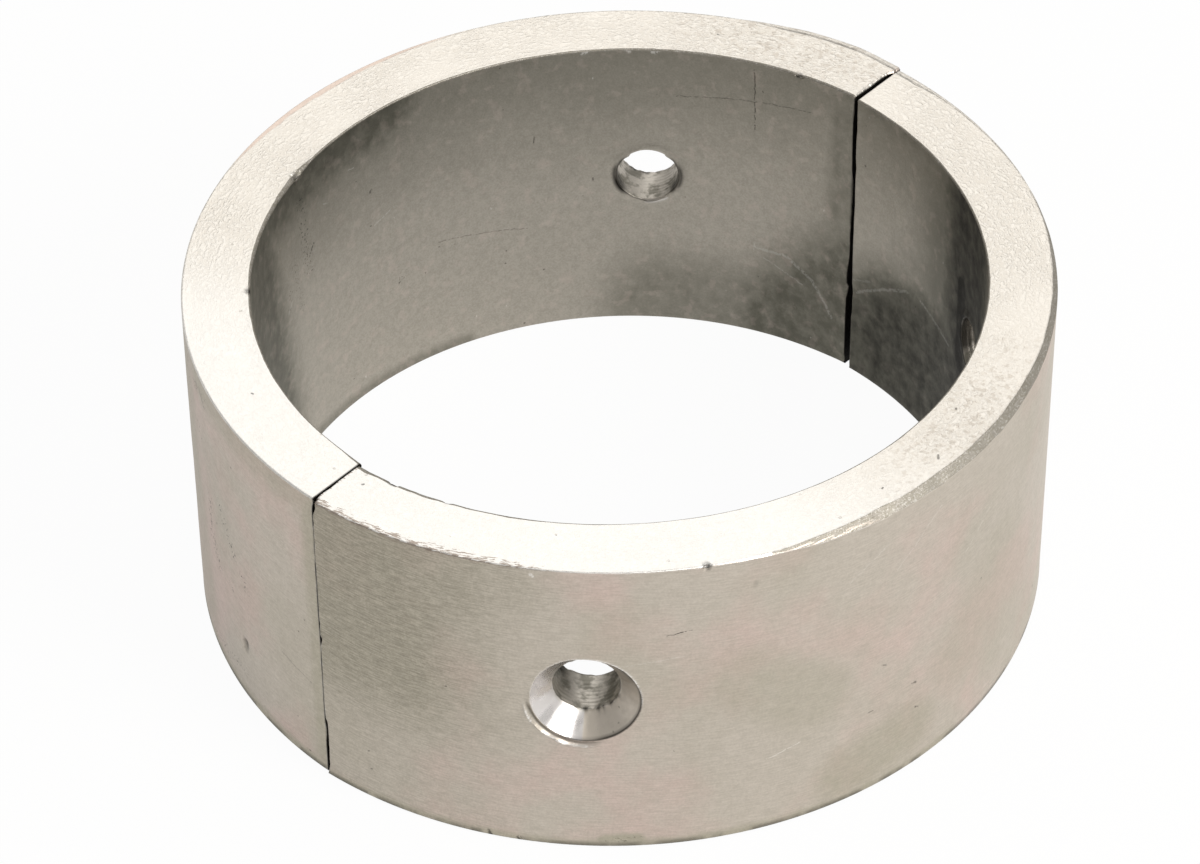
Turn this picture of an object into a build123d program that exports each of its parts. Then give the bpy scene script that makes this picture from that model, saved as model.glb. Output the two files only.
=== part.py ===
"""Split collar anode: two zinc half rings that close round a propeller hub.

The collar is cast as one ring, turned on the outside, drilled for its screws and sawn in two, and its halves
are pushed together until the saw cuts nearly meet. Millimetres, +Z up. The origin is the middle of the bottom
face, and the saw cuts lie in the XZ plane: the front half is at -Y and the rear half at +Y.
"""
from build123d import *
import os
from math import cos, radians, sin, tan

# Ring
OUTER_DIAMETER = 110.0  # turned outer wall
BORE_DIAMETER = 93.0  # cast inner wall, which closes on the hub
HEIGHT = 45.5
BOTTOM_EDGE_BREAK = 0.4  # leg of the chamfer round the outer bottom edge
BORE_EDGE_BREAK = 0.25  # leg of the chamfer round both edges of the inner wall

# Dressed bevel round the outer top edge: a cone that stands off the ring's axis
BEVEL_LEG = 0.42  # leg of the bevel, a quarter turn from its widest place
BEVEL_OFFSET = 0.33  # how far the cone's axis stands off, so how much the leg grows and shrinks
BEVEL_DIRECTION = 6.0  # degrees from -Y towards +X, where the bevel is widest
BEVEL_ANGLE = 45.0  # degrees from the top face

# Saw cuts
SAW_KERF = 2.7  # metal that the saw took between the halves
JOINT_GAP = 0.3  # left between the sawn faces when the halves are pushed together
JOINT_SLIP = 0.32  # how far the halves' centres stand apart along the cut

# Screw holes: radial, countersunk from outside and deburred from inside
HOLE_DIAMETER = 8.2
COUNTERSINK_DIAMETER = 14.0  # where the cone meets the outer wall's crest
COUNTERSINK_ANGLE = 90.0
DEBURR_LEG = 0.25  # leg of the light cone, at the inner wall's crest
HOLE_HEIGHT = 24.8  # of the hole's axis above the bottom face
HOLE_OFFSET = 52.2  # degrees from the middle of a half to its holes
FRONT_HOLES = (-1, 1)  # sides of the front half's middle that are drilled
REAR_HOLES = (-1,)  # the rear half has one hole only

# Worked out from the sizes above
OUTER_RADIUS = OUTER_DIAMETER / 2
BORE_RADIUS = BORE_DIAMETER / 2
HOLE_RADIUS = HOLE_DIAMETER / 2
SINK_RADIUS = COUNTERSINK_DIAMETER / 2
CLOSING = (SAW_KERF - JOINT_GAP) / 2  # travel of each half towards the other
CLEAR = 5.0  # how far a cutting tool runs past the metal


def ring_section():
    """Section of the wall, in the XZ plane: turned outside, cast inside, with its edges broken."""
    inside, outside = BORE_RADIUS, OUTER_RADIUS
    corners = [
        (inside + BORE_EDGE_BREAK, 0),
        (outside - BOTTOM_EDGE_BREAK, 0),
        (outside, BOTTOM_EDGE_BREAK),
        (outside, HEIGHT),
        (inside + BORE_EDGE_BREAK, HEIGHT),
        (inside, HEIGHT - BORE_EDGE_BREAK),
        (inside, BORE_EDGE_BREAK),
    ]
    return Plane.XZ * make_face(Polyline(*corners, close=True))


def bevel_cone():
    """Solid cone that keeps all but the bevel of the outer top edge."""
    top_radius = OUTER_RADIUS - BEVEL_LEG
    bottom_radius = top_radius + HEIGHT / tan(radians(BEVEL_ANGLE))
    turn = radians(BEVEL_DIRECTION)
    centre = (-BEVEL_OFFSET * sin(turn), BEVEL_OFFSET * cos(turn), HEIGHT / 2)
    return Pos(*centre) * Cone(bottom_radius, top_radius, HEIGHT)


def screw_hole():
    """Tool for one screw hole, along -Y from the ring's axis: bore, countersink and inner deburring cone."""
    slope = tan(radians(COUNTERSINK_ANGLE / 2))  # growth of both cones' radius, per length
    sink_start = OUTER_RADIUS - (SINK_RADIUS - HOLE_RADIUS) / slope
    sink_end = OUTER_RADIUS + CLEAR
    deburr_start = BORE_RADIUS + DEBURR_LEG / slope
    deburr_end = BORE_RADIUS - CLEAR
    half_section = [
        (0, deburr_end),
        (HOLE_RADIUS + (deburr_start - deburr_end) * slope, deburr_end),
        (HOLE_RADIUS, deburr_start),
        (HOLE_RADIUS, sink_start),
        (HOLE_RADIUS + (sink_end - sink_start) * slope, sink_end),
        (0, sink_end),
    ]
    turned = revolve(make_face(Polyline(*half_section, close=True)), Axis.Y)
    return Pos(0, 0, HOLE_HEIGHT) * Rot(0, 0, 180) * turned


def whole_ring():
    """The ring as it leaves the lathe, before it is drilled and sawn."""
    return revolve(ring_section(), Axis.Z) & bevel_cone()


def half_ring(ring, middle, holes):
    """Half of the ring, with its middle at an angle from -Y, drilled, sawn and pushed up to the joint."""
    half = ring
    for side in holes:
        half -= Rot(0, 0, middle + side * HOLE_OFFSET) * screw_hole()
    side_y = -1 if middle == 0 else 1
    size = OUTER_DIAMETER + 2 * CLEAR
    saw_side = Pos(0, side_y * (SAW_KERF + size) / 2, HEIGHT / 2) * Box(size, size, size)
    return Pos(side_y * JOINT_SLIP / 2, -side_y * CLOSING, 0) * (half & saw_side)


def main():
    os.makedirs("parts", exist_ok=True)
    ring = whole_ring()
    halves = {
        "front_half": half_ring(ring, 0, FRONT_HOLES),
        "rear_half": half_ring(ring, 180, REAR_HOLES),
    }
    for name, half in halves.items():
        export_step(half, f"parts/{name}.step")


if __name__ == "__main__":
    main()
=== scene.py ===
"""Split collar anode of zinc in two halves, with its stage: a Blender add-on that is run as a script."""

import functools
import itertools
import math

import bpy
import numpy as np
from mathutils import Matrix, Vector


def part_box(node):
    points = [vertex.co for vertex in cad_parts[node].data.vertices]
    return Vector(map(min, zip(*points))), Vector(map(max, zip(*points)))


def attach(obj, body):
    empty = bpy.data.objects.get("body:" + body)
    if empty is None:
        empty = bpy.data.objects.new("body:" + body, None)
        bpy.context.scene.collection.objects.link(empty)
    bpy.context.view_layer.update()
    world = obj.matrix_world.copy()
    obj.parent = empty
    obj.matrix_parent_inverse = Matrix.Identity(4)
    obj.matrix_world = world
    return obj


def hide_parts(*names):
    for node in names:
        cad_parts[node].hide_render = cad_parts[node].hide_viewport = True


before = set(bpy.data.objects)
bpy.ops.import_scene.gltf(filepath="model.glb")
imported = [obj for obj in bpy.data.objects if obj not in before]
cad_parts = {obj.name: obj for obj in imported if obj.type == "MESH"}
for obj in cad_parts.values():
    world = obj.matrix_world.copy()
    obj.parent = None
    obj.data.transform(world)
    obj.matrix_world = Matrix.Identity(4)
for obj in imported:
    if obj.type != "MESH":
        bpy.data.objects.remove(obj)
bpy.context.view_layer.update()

bl_info = {
    "name": "Split collar anode",
    "version": (1, 0, 0),
    "blender": (4, 5, 0),
    "location": "View3D > Sidebar > Anode",
    "description": "Builds the two halves of a zinc collar anode with their finishes, and a stage for them",
    "category": "Object",
}

MM = 0.001
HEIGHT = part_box("front_half")[1].z

# Faces of a half are finished in six ways, one material each
TURNED, TOP, CAST, EDGE, DRILLED, SAWN = range(6)


# ---------------------------------------------------------------- Settings


def length(name, description, millimetres, **more):
    """A size in metres, given here in millimetres."""
    return bpy.props.FloatProperty(
        name=name, description=description, default=millimetres * MM, unit="LENGTH", precision=5, **more
    )


def colour(name, description, default):
    """A linear colour."""
    return bpy.props.FloatVectorProperty(
        name=name, description=description, default=default, subtype="COLOR", size=3, min=0, max=1
    )


def factor(name, description, default, **more):
    """A plain number."""
    return bpy.props.FloatProperty(name=name, description=description, default=default, **more)


def angle(name, description, degrees):
    """An angle, given here in degrees."""
    return bpy.props.FloatProperty(
        name=name, description=description, default=math.radians(degrees), subtype="ANGLE"
    )


class AnodeSizes(bpy.types.PropertyGroup):
    """Sizes of the ring, its joints and its screw holes."""

    outer_radius: length("Outer radius", "Turned outer wall", 55.0)
    bore_radius: length("Bore radius", "Cast inner wall", 46.5)
    height: length("Height", "From the bottom face to the top face", HEIGHT / MM)
    half_kerf: length("Half kerf", "From a half's axis to its sawn faces", 1.35)
    closing: length("Closing", "Travel of each half towards the other", 1.2)
    slip: length("Slip", "How far the halves' axes stand apart along the cut", 0.32)
    hole_radius: length("Hole radius", "Bore of a screw hole", 4.1)
    sink_radius: length("Countersink radius", "Cone's mouth at the outer wall's crest", 7.0)
    hole_height: length("Hole height", "Axis of the screw holes above the bottom face", 24.8)
    hole_offset: angle("Hole offset", "From the middle of a half to its holes", 52.2)
    bottom_break: length("Bottom break", "Leg of the outer bottom edge's chamfer", 0.4)
    patch: length("Hole patch", "Half side of the square of wall that is rebuilt round a hole", 10.0)


class AnodeFinish(bpy.types.PropertyGroup):
    """Colours of the zinc."""

    turned: colour("Turned zinc", "Outer wall", (0.63, 0.575, 0.505))
    turned_rosy: colour("Turned zinc, warm", "Warmer patches of the outer wall", (0.69, 0.565, 0.51))
    turned_dark: colour("Turned zinc, dull", "Duller patches of the outer wall", (0.50, 0.465, 0.375))
    streak: colour("Streaks", "Fine dark streaks of the outer wall and its edges", (0.27, 0.25, 0.20))
    # Darker than the walls: partly the bevel's greyer skin, partly painted shade for the darker reflection it
    # shows
    edge: colour("Edge zinc", "Dressed and torn edges", (0.40, 0.375, 0.34))
    top: colour("Top zinc", "Top and bottom faces", (0.93, 0.895, 0.835))
    # Also the colour of the painted highlight on the top's paler side
    top_pale: colour("Top zinc, pale", "Palest side of the top", (0.945, 0.93, 0.90))
    # Low grit of the skin, and also the painted shade of the top's folds
    top_grit_and_fold_shade: colour("Top zinc, dull", "Folds and low grit of the top and bottom faces", (0.55, 0.50, 0.43))
    cast: colour("Bore zinc", "Inner wall", (0.47, 0.435, 0.38))
    # Also the colour that the bore wall's painted shade is mixed towards
    cast_dark: colour("Bore zinc, dark", "Darker skin of the inner wall", (0.175, 0.17, 0.135))
    torn: colour("Torn zinc", "Slivers along the torn edge", (0.36, 0.295, 0.245))
    # Burnished band on the top, and painted light too: glints on the front bevel and the shade of the rear
    # half's tab
    rosy_burnish_and_painted_light: colour("Top zinc, burnished", "Smooth band along part of the outer edge", (0.80, 0.68, 0.60))
    # Also paints glints: the lip under the front bevel and highlights round the screw holes
    cut: colour("Fresh cut zinc", "Bright lips of edges", (0.92, 0.90, 0.87))
    cone: colour("Countersunk zinc", "Cones of the screw holes", (0.78, 0.755, 0.745))
    scored: colour("Drilled zinc", "Bores of the screw holes", (0.62, 0.585, 0.53))
    # Soil, dark joints and painted shade: in the ledge's groove, in dents, along the foot and round the screw
    # holes
    grime: colour("Grime", "Dirt in pits and along the sawn edges", (0.020, 0.018, 0.015))


class AnodeStage(bpy.types.PropertyGroup):
    """Floor, lamps and camera."""

    floor: colour("Floor", "Pale floor", (0.80, 0.79, 0.77))
    white: factor("White floor", "Share of plain white that the camera sees in the floor", 0.96, min=0, max=1)
    white_gloss: factor("White floor in gloss", "The same share, seen in the metal", 0.6, min=0, max=1)
    world: factor("World", "Strength of the even light from all round", 0.45, min=0)
    key: factor("Key lamp", "Power of the soft box at the front, in watts", 7.0, min=0)
    back: factor("Back lamp", "Power of the soft box behind and above, in watts", 2.4, min=0)
    lens: factor("Lens", "Focal length in millimetres on a 36 mm sensor", 150.44, min=1)
    heading: angle("Heading", "Camera's turn about the vertical", -48.355)
    pitch: angle("Pitch", "How far the camera looks down", 41.304)
    roll: angle("Roll", "Camera's turn about its own line of sight", -0.642)
    camera: bpy.props.FloatVectorProperty(
        name="Camera", description="Place of the camera", default=(-0.35868, -0.31546, 0.43915), unit="LENGTH"
    )


# ---------------------------------------------------------------- Number tools


def ramp(x, start, end):
    """0 before start, 1 after end and smooth between."""
    t = np.clip((x - start) / (end - start), 0, 1)
    return t * t * (3 - 2 * t)


def hill(x, centre, width):
    """Bell curve of height 1."""
    return np.exp(-(((x - centre) / width) ** 2))


def spaced(start, end, step, count=None):
    """Positions from start to end whose spacing follows step, a function of the position."""
    fine = np.linspace(start, end, 6001)
    total = np.concatenate([[0], np.cumsum(np.diff(fine) / step((fine[1:] + fine[:-1]) / 2))])
    return np.interp(np.linspace(0, total[-1], count or round(total[-1]) + 1), total, fine)


def noise(x, y, size, seed):
    """Smooth noise from -1 to 1 with features about size across, the same on every run."""
    x, y = np.broadcast_arrays(np.asarray(x, float) / size + 31.7 * seed, np.asarray(y, float) / size)
    cell = np.floor(x).astype(np.int64), np.floor(y).astype(np.int64)
    u, v = x - cell[0], y - cell[1]
    u, v = u * u * (3 - 2 * u), v * v * (3 - 2 * v)
    total = np.zeros_like(u)
    # Each corner of a cell gets its value from a hash of its numbers
    for right, up in itertools.product((0, 1), repeat=2):
        mix = (cell[0] + right) * 73856093 ^ (cell[1] + up) * 19349663 ^ (seed + 7) * 83492791
        mix = ((mix ^ (mix >> 13)) * 1274126177) & 0xFFFFFFFF
        value = ((mix ^ (mix >> 15)) & 0xFFFF) / 32767.5 - 1
        total += value * (u if right else 1 - u) * (v if up else 1 - v)
    return total


def rough(x, y, size, seed, octaves=3):
    """Noise with finer noise on it."""
    return sum(noise(x, y, size / 2**k, seed + k) / 2**k for k in range(octaves))


# ---------------------------------------------------------------- Shape of a half

# A half is built about its own axis, in millimetres, with its middle at -Y. Its section is a loop of rows: it
# starts at the outer bottom edge, climbs the outer wall, crosses the top, comes down the bore wall and goes
# back under the bottom. CORNER and SMALL_CORNER are the rows of an edge, as shares of the way across it.
OUTER_ARC = 0.96  # Millimetres of the outer wall in one degree
BORE_ARC = 0.81  # Millimetres of the bore wall in one degree
BORE_BREAK = 0.25  # Leg of the chamfer at the bottom of the bore wall, in millimetres
PLAIN_BEVEL = 0.2  # An outer top edge with a shorter bevel than this is finished like the top
WALL_ROWS = 56
FACE_ROWS = 15
CORNER = np.array([0, 0.06, 0.18, 0.34, 0.5, 0.66, 0.82, 0.94, 1])
SMALL_CORNER = np.array([0, 0.12, 0.5, 0.88, 1])

PARTS = [
    ("bottom_outer", len(SMALL_CORNER)),
    ("outer", WALL_ROWS),
    ("top_outer", len(CORNER)),
    ("top", FACE_ROWS),
    ("top_inner", len(CORNER)),
    ("inner", WALL_ROWS),
    ("bottom_inner", len(SMALL_CORNER)),
    ("bottom", FACE_ROWS + 4),
]


def rows_of():
    """Slice of the loop that each part of the section takes."""
    rows, start = {}, 0
    for name, count in PARTS:
        rows[name] = slice(start, start + count)
        start += count
    return rows, start


ROWS, LOOP = rows_of()


class Half:
    """What differs between the two halves. Angles are in degrees from its middle, and sizes in millimetres.

    Pairs of lists are values at angles. bevel is the leg of the outer top edge, ledge the share of a low rim
    along it, and proud how far the wall bulges below it. band is the width of the burnished band on the top,
    lip the round of the inner top edge, tears the share of torn metal, and the list after it the share of
    bright lip under the bevel, a painted glint.

    gaps are lists of height and extra joint gap at both ends, and flash is how far a tab of metal reaches
    out across the first of them. dents are wall, angle, height, radius and depth. notches in the arrises of
    the saw cuts are end, place along the section, half length and size.

    rubbed is two places round the outer wall: where a patch starts to show, and where it shows fully. The
    pair after it is the same for painted shade on the bore wall, on its side away from the key lamp.
    slope is the lean of the turning lines, flaky the middle of the top's flaky place, and pale the direction
    in which the top gets paler, a painted highlight.
    """

    def __init__(self, name, **facts):
        self.name = name
        self.__dict__.update(facts)

    def along(self, kind, degrees):
        """Value of one of the lists at the given angles."""
        return np.interp(degrees, *getattr(self, kind))


FRONT = Half(
    "front_half",
    turn=0,
    holes=(-1, 1),
    bevel=(
        [-90, -60, -44, -38, -28, -23, -16, -3, 10, 19, 40, 50, 58, 90],
        [0.07, 0.07, 0.06, 0.06, 0.22, 0.55, 0.9, 1.0, 0.95, 0.85, 0.55, 0.3, 0.14, 0.10],
    ),
    ledge=([-90, 62, 80, 85, 90], [0, 0, 0.4, 1, 1]),
    proud=([-90, 90], [0, 0]),
    band=([-90, 90], [0, 0]),
    lip=([-90, -84, -70, -55, -40, 0, 90], [0.85, 0.75, 0.5, 0.3, 0.15, 0.24, 0.2]),
    tears=([-90, -62, -50], [1, 1, 0]),
    # Bright lip under the bevel: a painted glint
    shine=([-40, -35, -17, -13], [0, 1, 1, 0]),
    rubbed=(-42.0, -66.0),
    # Painted shade on the bore wall, on its side away from the key lamp
    painted_side_shade=(86.0, 68.0),
    slope=0.03,
    flaky=(8.0, 51.0, 0.0),
    # Painted highlight: the top gets paler in this direction
    pale=(-19.3, -5.2, 0.0),
    gaps=(([0, 11, 12, 43, 45], [0.05, 0.04, 0.0, -0.03, -0.11]), ([0], [0.08])),
    flash=0,
    dents=[
        ("outer", -37.2, 45.3, 0.45, 0.42),
        ("outer", -31.1, 41.2, 0.32, 0.08),
        ("outer", -15.3, 40.0, 0.30, 0.06),
        ("inner", -82.1, 45.4, 0.65, 0.45),
        ("inner", -73.1, 45.5, 0.45, 0.25),
    ],
    notches=[
        (-1, 45.0, 1.6, 0.60),
        (-1, 115.0, 0.9, 0.60),
        (-1, 22.8, 0.5, 0.45),
        (-1, 5.3, 4.6, 0.50),
        (1, 212.0, 3.0, 0.25),
    ],
    seed=3,
)
REAR = Half(
    "rear_half",
    turn=180,
    holes=(-1,),
    bevel=([-90, -72, -60, 20, 60, 90], [0.10, 0.10, 0.05, 0.05, 0.09, 0.12]),
    ledge=([-90, -84, -72, -67], [1, 1, 1, 0]),
    proud=([-90, -86, -82, -74, -64], [0.1, 0.35, 0.75, 0.65, 0]),
    band=([-34, -22, -4, 6, 15, 19], [0, 0.35, 0.85, 0.8, 0.35, 0]),
    lip=([-90, -40, 10, 14, 20, 42, 55, 84, 90], [0.3, 0.2, 0.2, 0.55, 0.42, 0.28, 0.2, 0.2, 0.7]),
    tears=([-90, 90], [0.0, 0.0]),
    shine=([-90, 90], [0.0, 0.0]),
    rubbed=(110.0, 120.0),
    # Painted shade on the bore wall, on its side away from the key lamp
    painted_side_shade=(-64.0, -92.0),
    slope=0.0,
    flaky=(-70.0, 52.0, 0.0),
    # Painted highlight: the top gets paler in this direction
    pale=(-19.3, -5.2, 0.0),
    gaps=(
        ([0, 8, 16, 19, 30, 36, 43, 46], [0.70, 0.76, 0.66, 0.30, 0.28, 0.42, 0.40, 0.20]),
        ([0, 43, 45], [0.0, -0.02, -0.10]),
    ),
    flash=0.26,
    dents=[
        ("outer", 71.3, 9.6, 0.7, 0.35),
        ("outer", 61.6, 22.5, 0.5, 0.08),
        ("outer", 59.0, 42.8, 0.5, 0.10),
        ("inner", 14.9, 45.4, 0.65, 0.5),
        ("inner", 43.8, 45.4, 0.5, 0.3),
        ("inner", -77.5, 45.4, 0.5, 0.25),
    ],
    notches=[
        (-1, 110.5, 5.5, 0.34),
        (-1, 213.0, 0.9, 0.55),
        (-1, 229.0, 3.5, 0.42),
        (1, 45.2, 1.0, 0.30),
    ],
    seed=11,
)


def cut_angle(s):
    """Angle from a half's middle to its sawn faces, at the outer wall."""
    return math.acos(s.half_kerf / s.outer_radius)


def from_cut(s, stations, radius):
    """Distance of each point to the nearer saw cut, in millimetres."""
    return (cut_angle(s) - np.abs(stations))[:, None] * radius


def station_angles(s, half):
    """Angles across the half, in radians at the outer wall, closer together at worn places and the cuts."""
    end = cut_angle(s)
    outer = s.outer_radius / MM

    def step(arc):
        degrees = np.degrees(arc / outer)
        from_end = end * outer - np.abs(arc)
        wish = np.minimum(0.58 - 0.25 * half.along("tears", degrees), 0.05 + 0.16 * from_end)
        for _, at, _, size, _ in half.dents:
            away = np.abs(arc - math.radians(at) * outer)
            wish = np.minimum(wish, 0.13 + 0.35 * np.maximum(0, away - 1.2 * size))
        return wish

    return spaced(-end * outer, end * outer, step) / outer


def wall_share():
    """Heights of the wall rows as shares of the wall, denser under the top edge."""
    return spaced(0, 1, lambda t: np.interp(t, [0, 0.03, 0.9, 1], [0.3, 1, 1, 0.25]), WALL_ROWS + 2)[1:-1]


def spread(count, crowd=0.6):
    """Shares of a face that crowd towards both of its edges, without the edges themselves."""
    t = np.arange(1, count + 1) / (count + 1)
    return t - crowd * np.sin(2 * np.pi * t) / (2 * np.pi)


def outer_relief(degrees, z, half, top):
    """How far the turned outer wall stands proud of its radius, in millimetres."""
    arc = degrees * OUTER_ARC
    torn = half.along("tears", degrees) * ramp(z, top - 7, top)
    relief = 0.018 * rough(arc, z, 9, half.seed) + 0.006 * noise(arc, z, 1.7, half.seed + 5)
    relief = relief - 0.05 * torn * ramp(rough(arc, z * 4, 2.2, half.seed + 9), 0.1, 0.9)
    return relief + dents_on("outer", arc, z, half, OUTER_ARC)


def inner_relief(degrees, z, half):
    """How far the cast bore wall stands proud of its radius, away from the axis, in millimetres."""
    arc = degrees * BORE_ARC
    relief = 0.045 * rough(arc, z, 8, half.seed + 20) + 0.012 * noise(arc, z, 1.3, half.seed + 25)
    return relief - dents_on("inner", arc, z, half, BORE_ARC)


def face_relief(x, y, half):
    """How far the cast top face stands proud, in millimetres."""
    return 0.022 * rough(x, y, 5, half.seed + 40) + 0.010 * noise(x, y, 0.9, half.seed + 45)


def edge_chips(s, half, degrees, radius, height):
    """How deep the dents in the top edges reach down at each point, in millimetres."""
    depth = 0
    for wall, at, level, size, deep in half.dents:
        face = (s.outer_radius if wall == "outer" else s.bore_radius) / MM
        across = np.radians(degrees - at) * face
        away = np.sqrt(across**2 + (radius - face) ** 2 + (height - level) ** 2)
        away = away * (1 + 0.30 * noise(across, radius, 0.5, half.seed + 61))
        depth = depth + deep * np.exp(-((away / size) ** 3))
    return depth


def dents_on(wall, arc, z, half, scale):
    """Sum of the dents in one wall, in millimetres, below zero. Scale is its millimetres in one degree."""
    depth = 0
    for place, at, level, size, deep in half.dents:
        if place == wall:
            ragged = 1 + 0.25 * noise(arc, z, size, half.seed + 60)
            away = np.hypot(arc - at * scale, z - level) * ragged
            depth = depth - deep * np.exp(-((away / size) ** 3))
    return depth


def section_rows(s, half, stations):
    """Radius and height of every row at every station, in millimetres: the ring as made, before wear."""
    degrees = np.degrees(stations)[:, None]
    arc = degrees * OUTER_ARC
    outer, bore, top = s.outer_radius / MM, s.bore_radius / MM, s.height / MM
    broken = s.bottom_break / MM
    torn, ledge = half.along("tears", degrees), half.along("ledge", degrees)
    leg = half.along("bevel", degrees)
    slivers = np.abs(rough(arc, 0, 1.1, half.seed + 71))
    slivers = slivers + 0.8 * ramp(noise(arc, 0, 2.3, half.seed + 72), 0.1, 0.9)
    inset = leg * (1 + 0.10 * noise(arc, 0, 2.5, half.seed + 70)) + 0.16 * torn * slivers
    proud = half.along("proud", degrees)
    inset = inset + ledge * np.maximum(0.08, 0.75 - proud) * (1 + 0.13 * rough(arc, 0, 2.2, half.seed + 69))
    inset = inset + half.along("band", degrees) * (1 + 0.12 * rough(arc, 0, 1.6, half.seed + 68))
    drop = leg * (1 + 0.12 * noise(arc, 0, 1.8, half.seed + 73))
    drop = drop + 0.10 * torn * np.abs(rough(arc, 0, 1.4, half.seed + 74))
    lip = half.along("lip", degrees)
    lip_in = lip * (1 + 0.12 * rough(arc, 0, 2.0, half.seed + 75))
    lip_drop = lip * (0.9 + 0.12 * rough(arc, 0, 1.6, half.seed + 76))
    radius = np.zeros((len(stations), LOOP))
    height = np.zeros_like(radius)
    t, small, share = CORNER[None], SMALL_CORNER[None], wall_share()[None]
    across, below = spread(FACE_ROWS)[None], spread(FACE_ROWS + 4)[None]

    radius[:, ROWS["bottom_outer"]] = outer - broken * (1 - small)
    height[:, ROWS["bottom_outer"]] = broken * small
    height[:, ROWS["outer"]] = broken + (top - drop - broken) * share
    radius[:, ROWS["outer"]] = outer + proud * ramp(height[:, ROWS["outer"]], top - 2.6, top - 0.6)
    bend = 0.35 * t * (1 - t) * torn
    groove = ledge * 0.30 * hill(t, 0.86, 0.09)
    radius[:, ROWS["top_outer"]] = outer + proud * (1 - t) - inset * (t - bend)
    height[:, ROWS["top_outer"]] = top - drop * (1 - t - bend) - groove - 0.05 * ledge * (1 - t)
    start, end = outer - inset, bore + lip_in
    radius[:, ROWS["top"]] = start + (end - start) * across
    height[:, ROWS["top"]] = top
    turn = t * np.pi / 2
    radius[:, ROWS["top_inner"]] = bore + lip_in * (1 - np.sin(turn))
    height[:, ROWS["top_inner"]] = top - lip_drop * (1 - np.cos(turn))
    radius[:, ROWS["inner"]] = bore
    height[:, ROWS["inner"]] = BORE_BREAK + (top - lip_drop - BORE_BREAK) * share[:, ::-1]
    radius[:, ROWS["bottom_inner"]] = bore + BORE_BREAK * small
    height[:, ROWS["bottom_inner"]] = BORE_BREAK * (1 - small)
    start, end = bore + BORE_BREAK, outer - broken
    radius[:, ROWS["bottom"]] = start + (end - start) * below
    return radius, height


def worn_rows(s, half, stations, radius, height):
    """The section with its relief and with the arrises along the saw cuts chipped."""
    degrees = np.degrees(stations)[:, None]
    top = s.height / MM
    radius, height = radius.copy(), height.copy()
    part = ROWS["outer"]
    z = height[:, part]
    radius[:, part] += outer_relief(degrees, z, half, top) * ramp(z, 0.4, 1.2)
    part = ROWS["top_outer"]
    lip = 0.06 * half.along("shine", degrees)
    radius[:, part] += (outer_relief(degrees, height[:, part], half, top) + lip) * (1 - CORNER[None])
    for name in ("top", "bottom"):
        part = ROWS[name]
        x, y = (radius[:, part] * turned(stations)[:, None] for turned in (np.sin, np.cos))
        share = spread(part.stop - part.start)[None]
        fade = 4 * share * (1 - share)
        side = 1 if name == "top" else -0.3
        height[:, part] += side * (face_relief(x, y, half) - 0.02) * np.minimum(1, fade * 3)
    part = slice(ROWS["top_outer"].start + 1, ROWS["top_inner"].stop - 1)
    height[:, part] -= edge_chips(s, half, degrees, radius[:, part], height[:, part])
    part = ROWS["inner"]
    z = height[:, part]
    radius[:, part] += inner_relief(degrees, z, half) * ramp(z, 0.3, 1.5) * ramp(top - z, 0.2, 1.2)

    away = from_cut(s, stations, radius)
    side = np.sign(stations)[:, None]
    # Places along the section, as the notches give them: the height on the outer wall, the radius and 60 over
    # the top, and the height and 200 on the bore wall. The second end's noise starts 500 further on.
    place = np.where(side > 0, 500, 0)
    rows = np.arange(LOOP)[None]
    along = np.where(rows < ROWS["top_outer"].start, height, radius + 60)
    along = np.where(rows < ROWS["inner"].start, along, height + 200)
    chip = 0.05 + 0.05 * np.abs(rough(along + place, 0, 1.5, half.seed + 80))
    chip = chip + 0.22 * ramp(rough(along + place, 0, 3.3, half.seed + 81), 0.35, 1.2)
    ragged = 1 + 0.25 * rough(along, 0, 0.8, half.seed + 82)
    for end_side, centre, half_length, size in half.notches:
        there = np.exp(-((np.abs(along - centre) / half_length) ** 6)) * (side == end_side)
        chip = np.maximum(chip, size * there * ragged)
    cut = chip * np.clip(1 - away / chip, 0, 1) ** 1.5
    for name in ("outer", "top_outer"):
        radius[:, ROWS[name]] -= cut[:, ROWS[name]]
    for name in ("top_outer", "top", "top_inner"):
        height[:, ROWS[name]] -= cut[:, ROWS[name]]
    radius[:, ROWS["inner"]] += cut[:, ROWS["inner"]]
    return radius, height


# What each point of the mesh says of its wear and of painted light: distance to an arris; the share of soil,
# dark joints and painted shade; the share of burnished metal and painted light (glints, highlights and the
# shade of a tab); and the share of torn metal. On the screw holes the last one is the share of matt metal.
MARKS = ("arris", "grime", "shine", "fringe")


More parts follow.
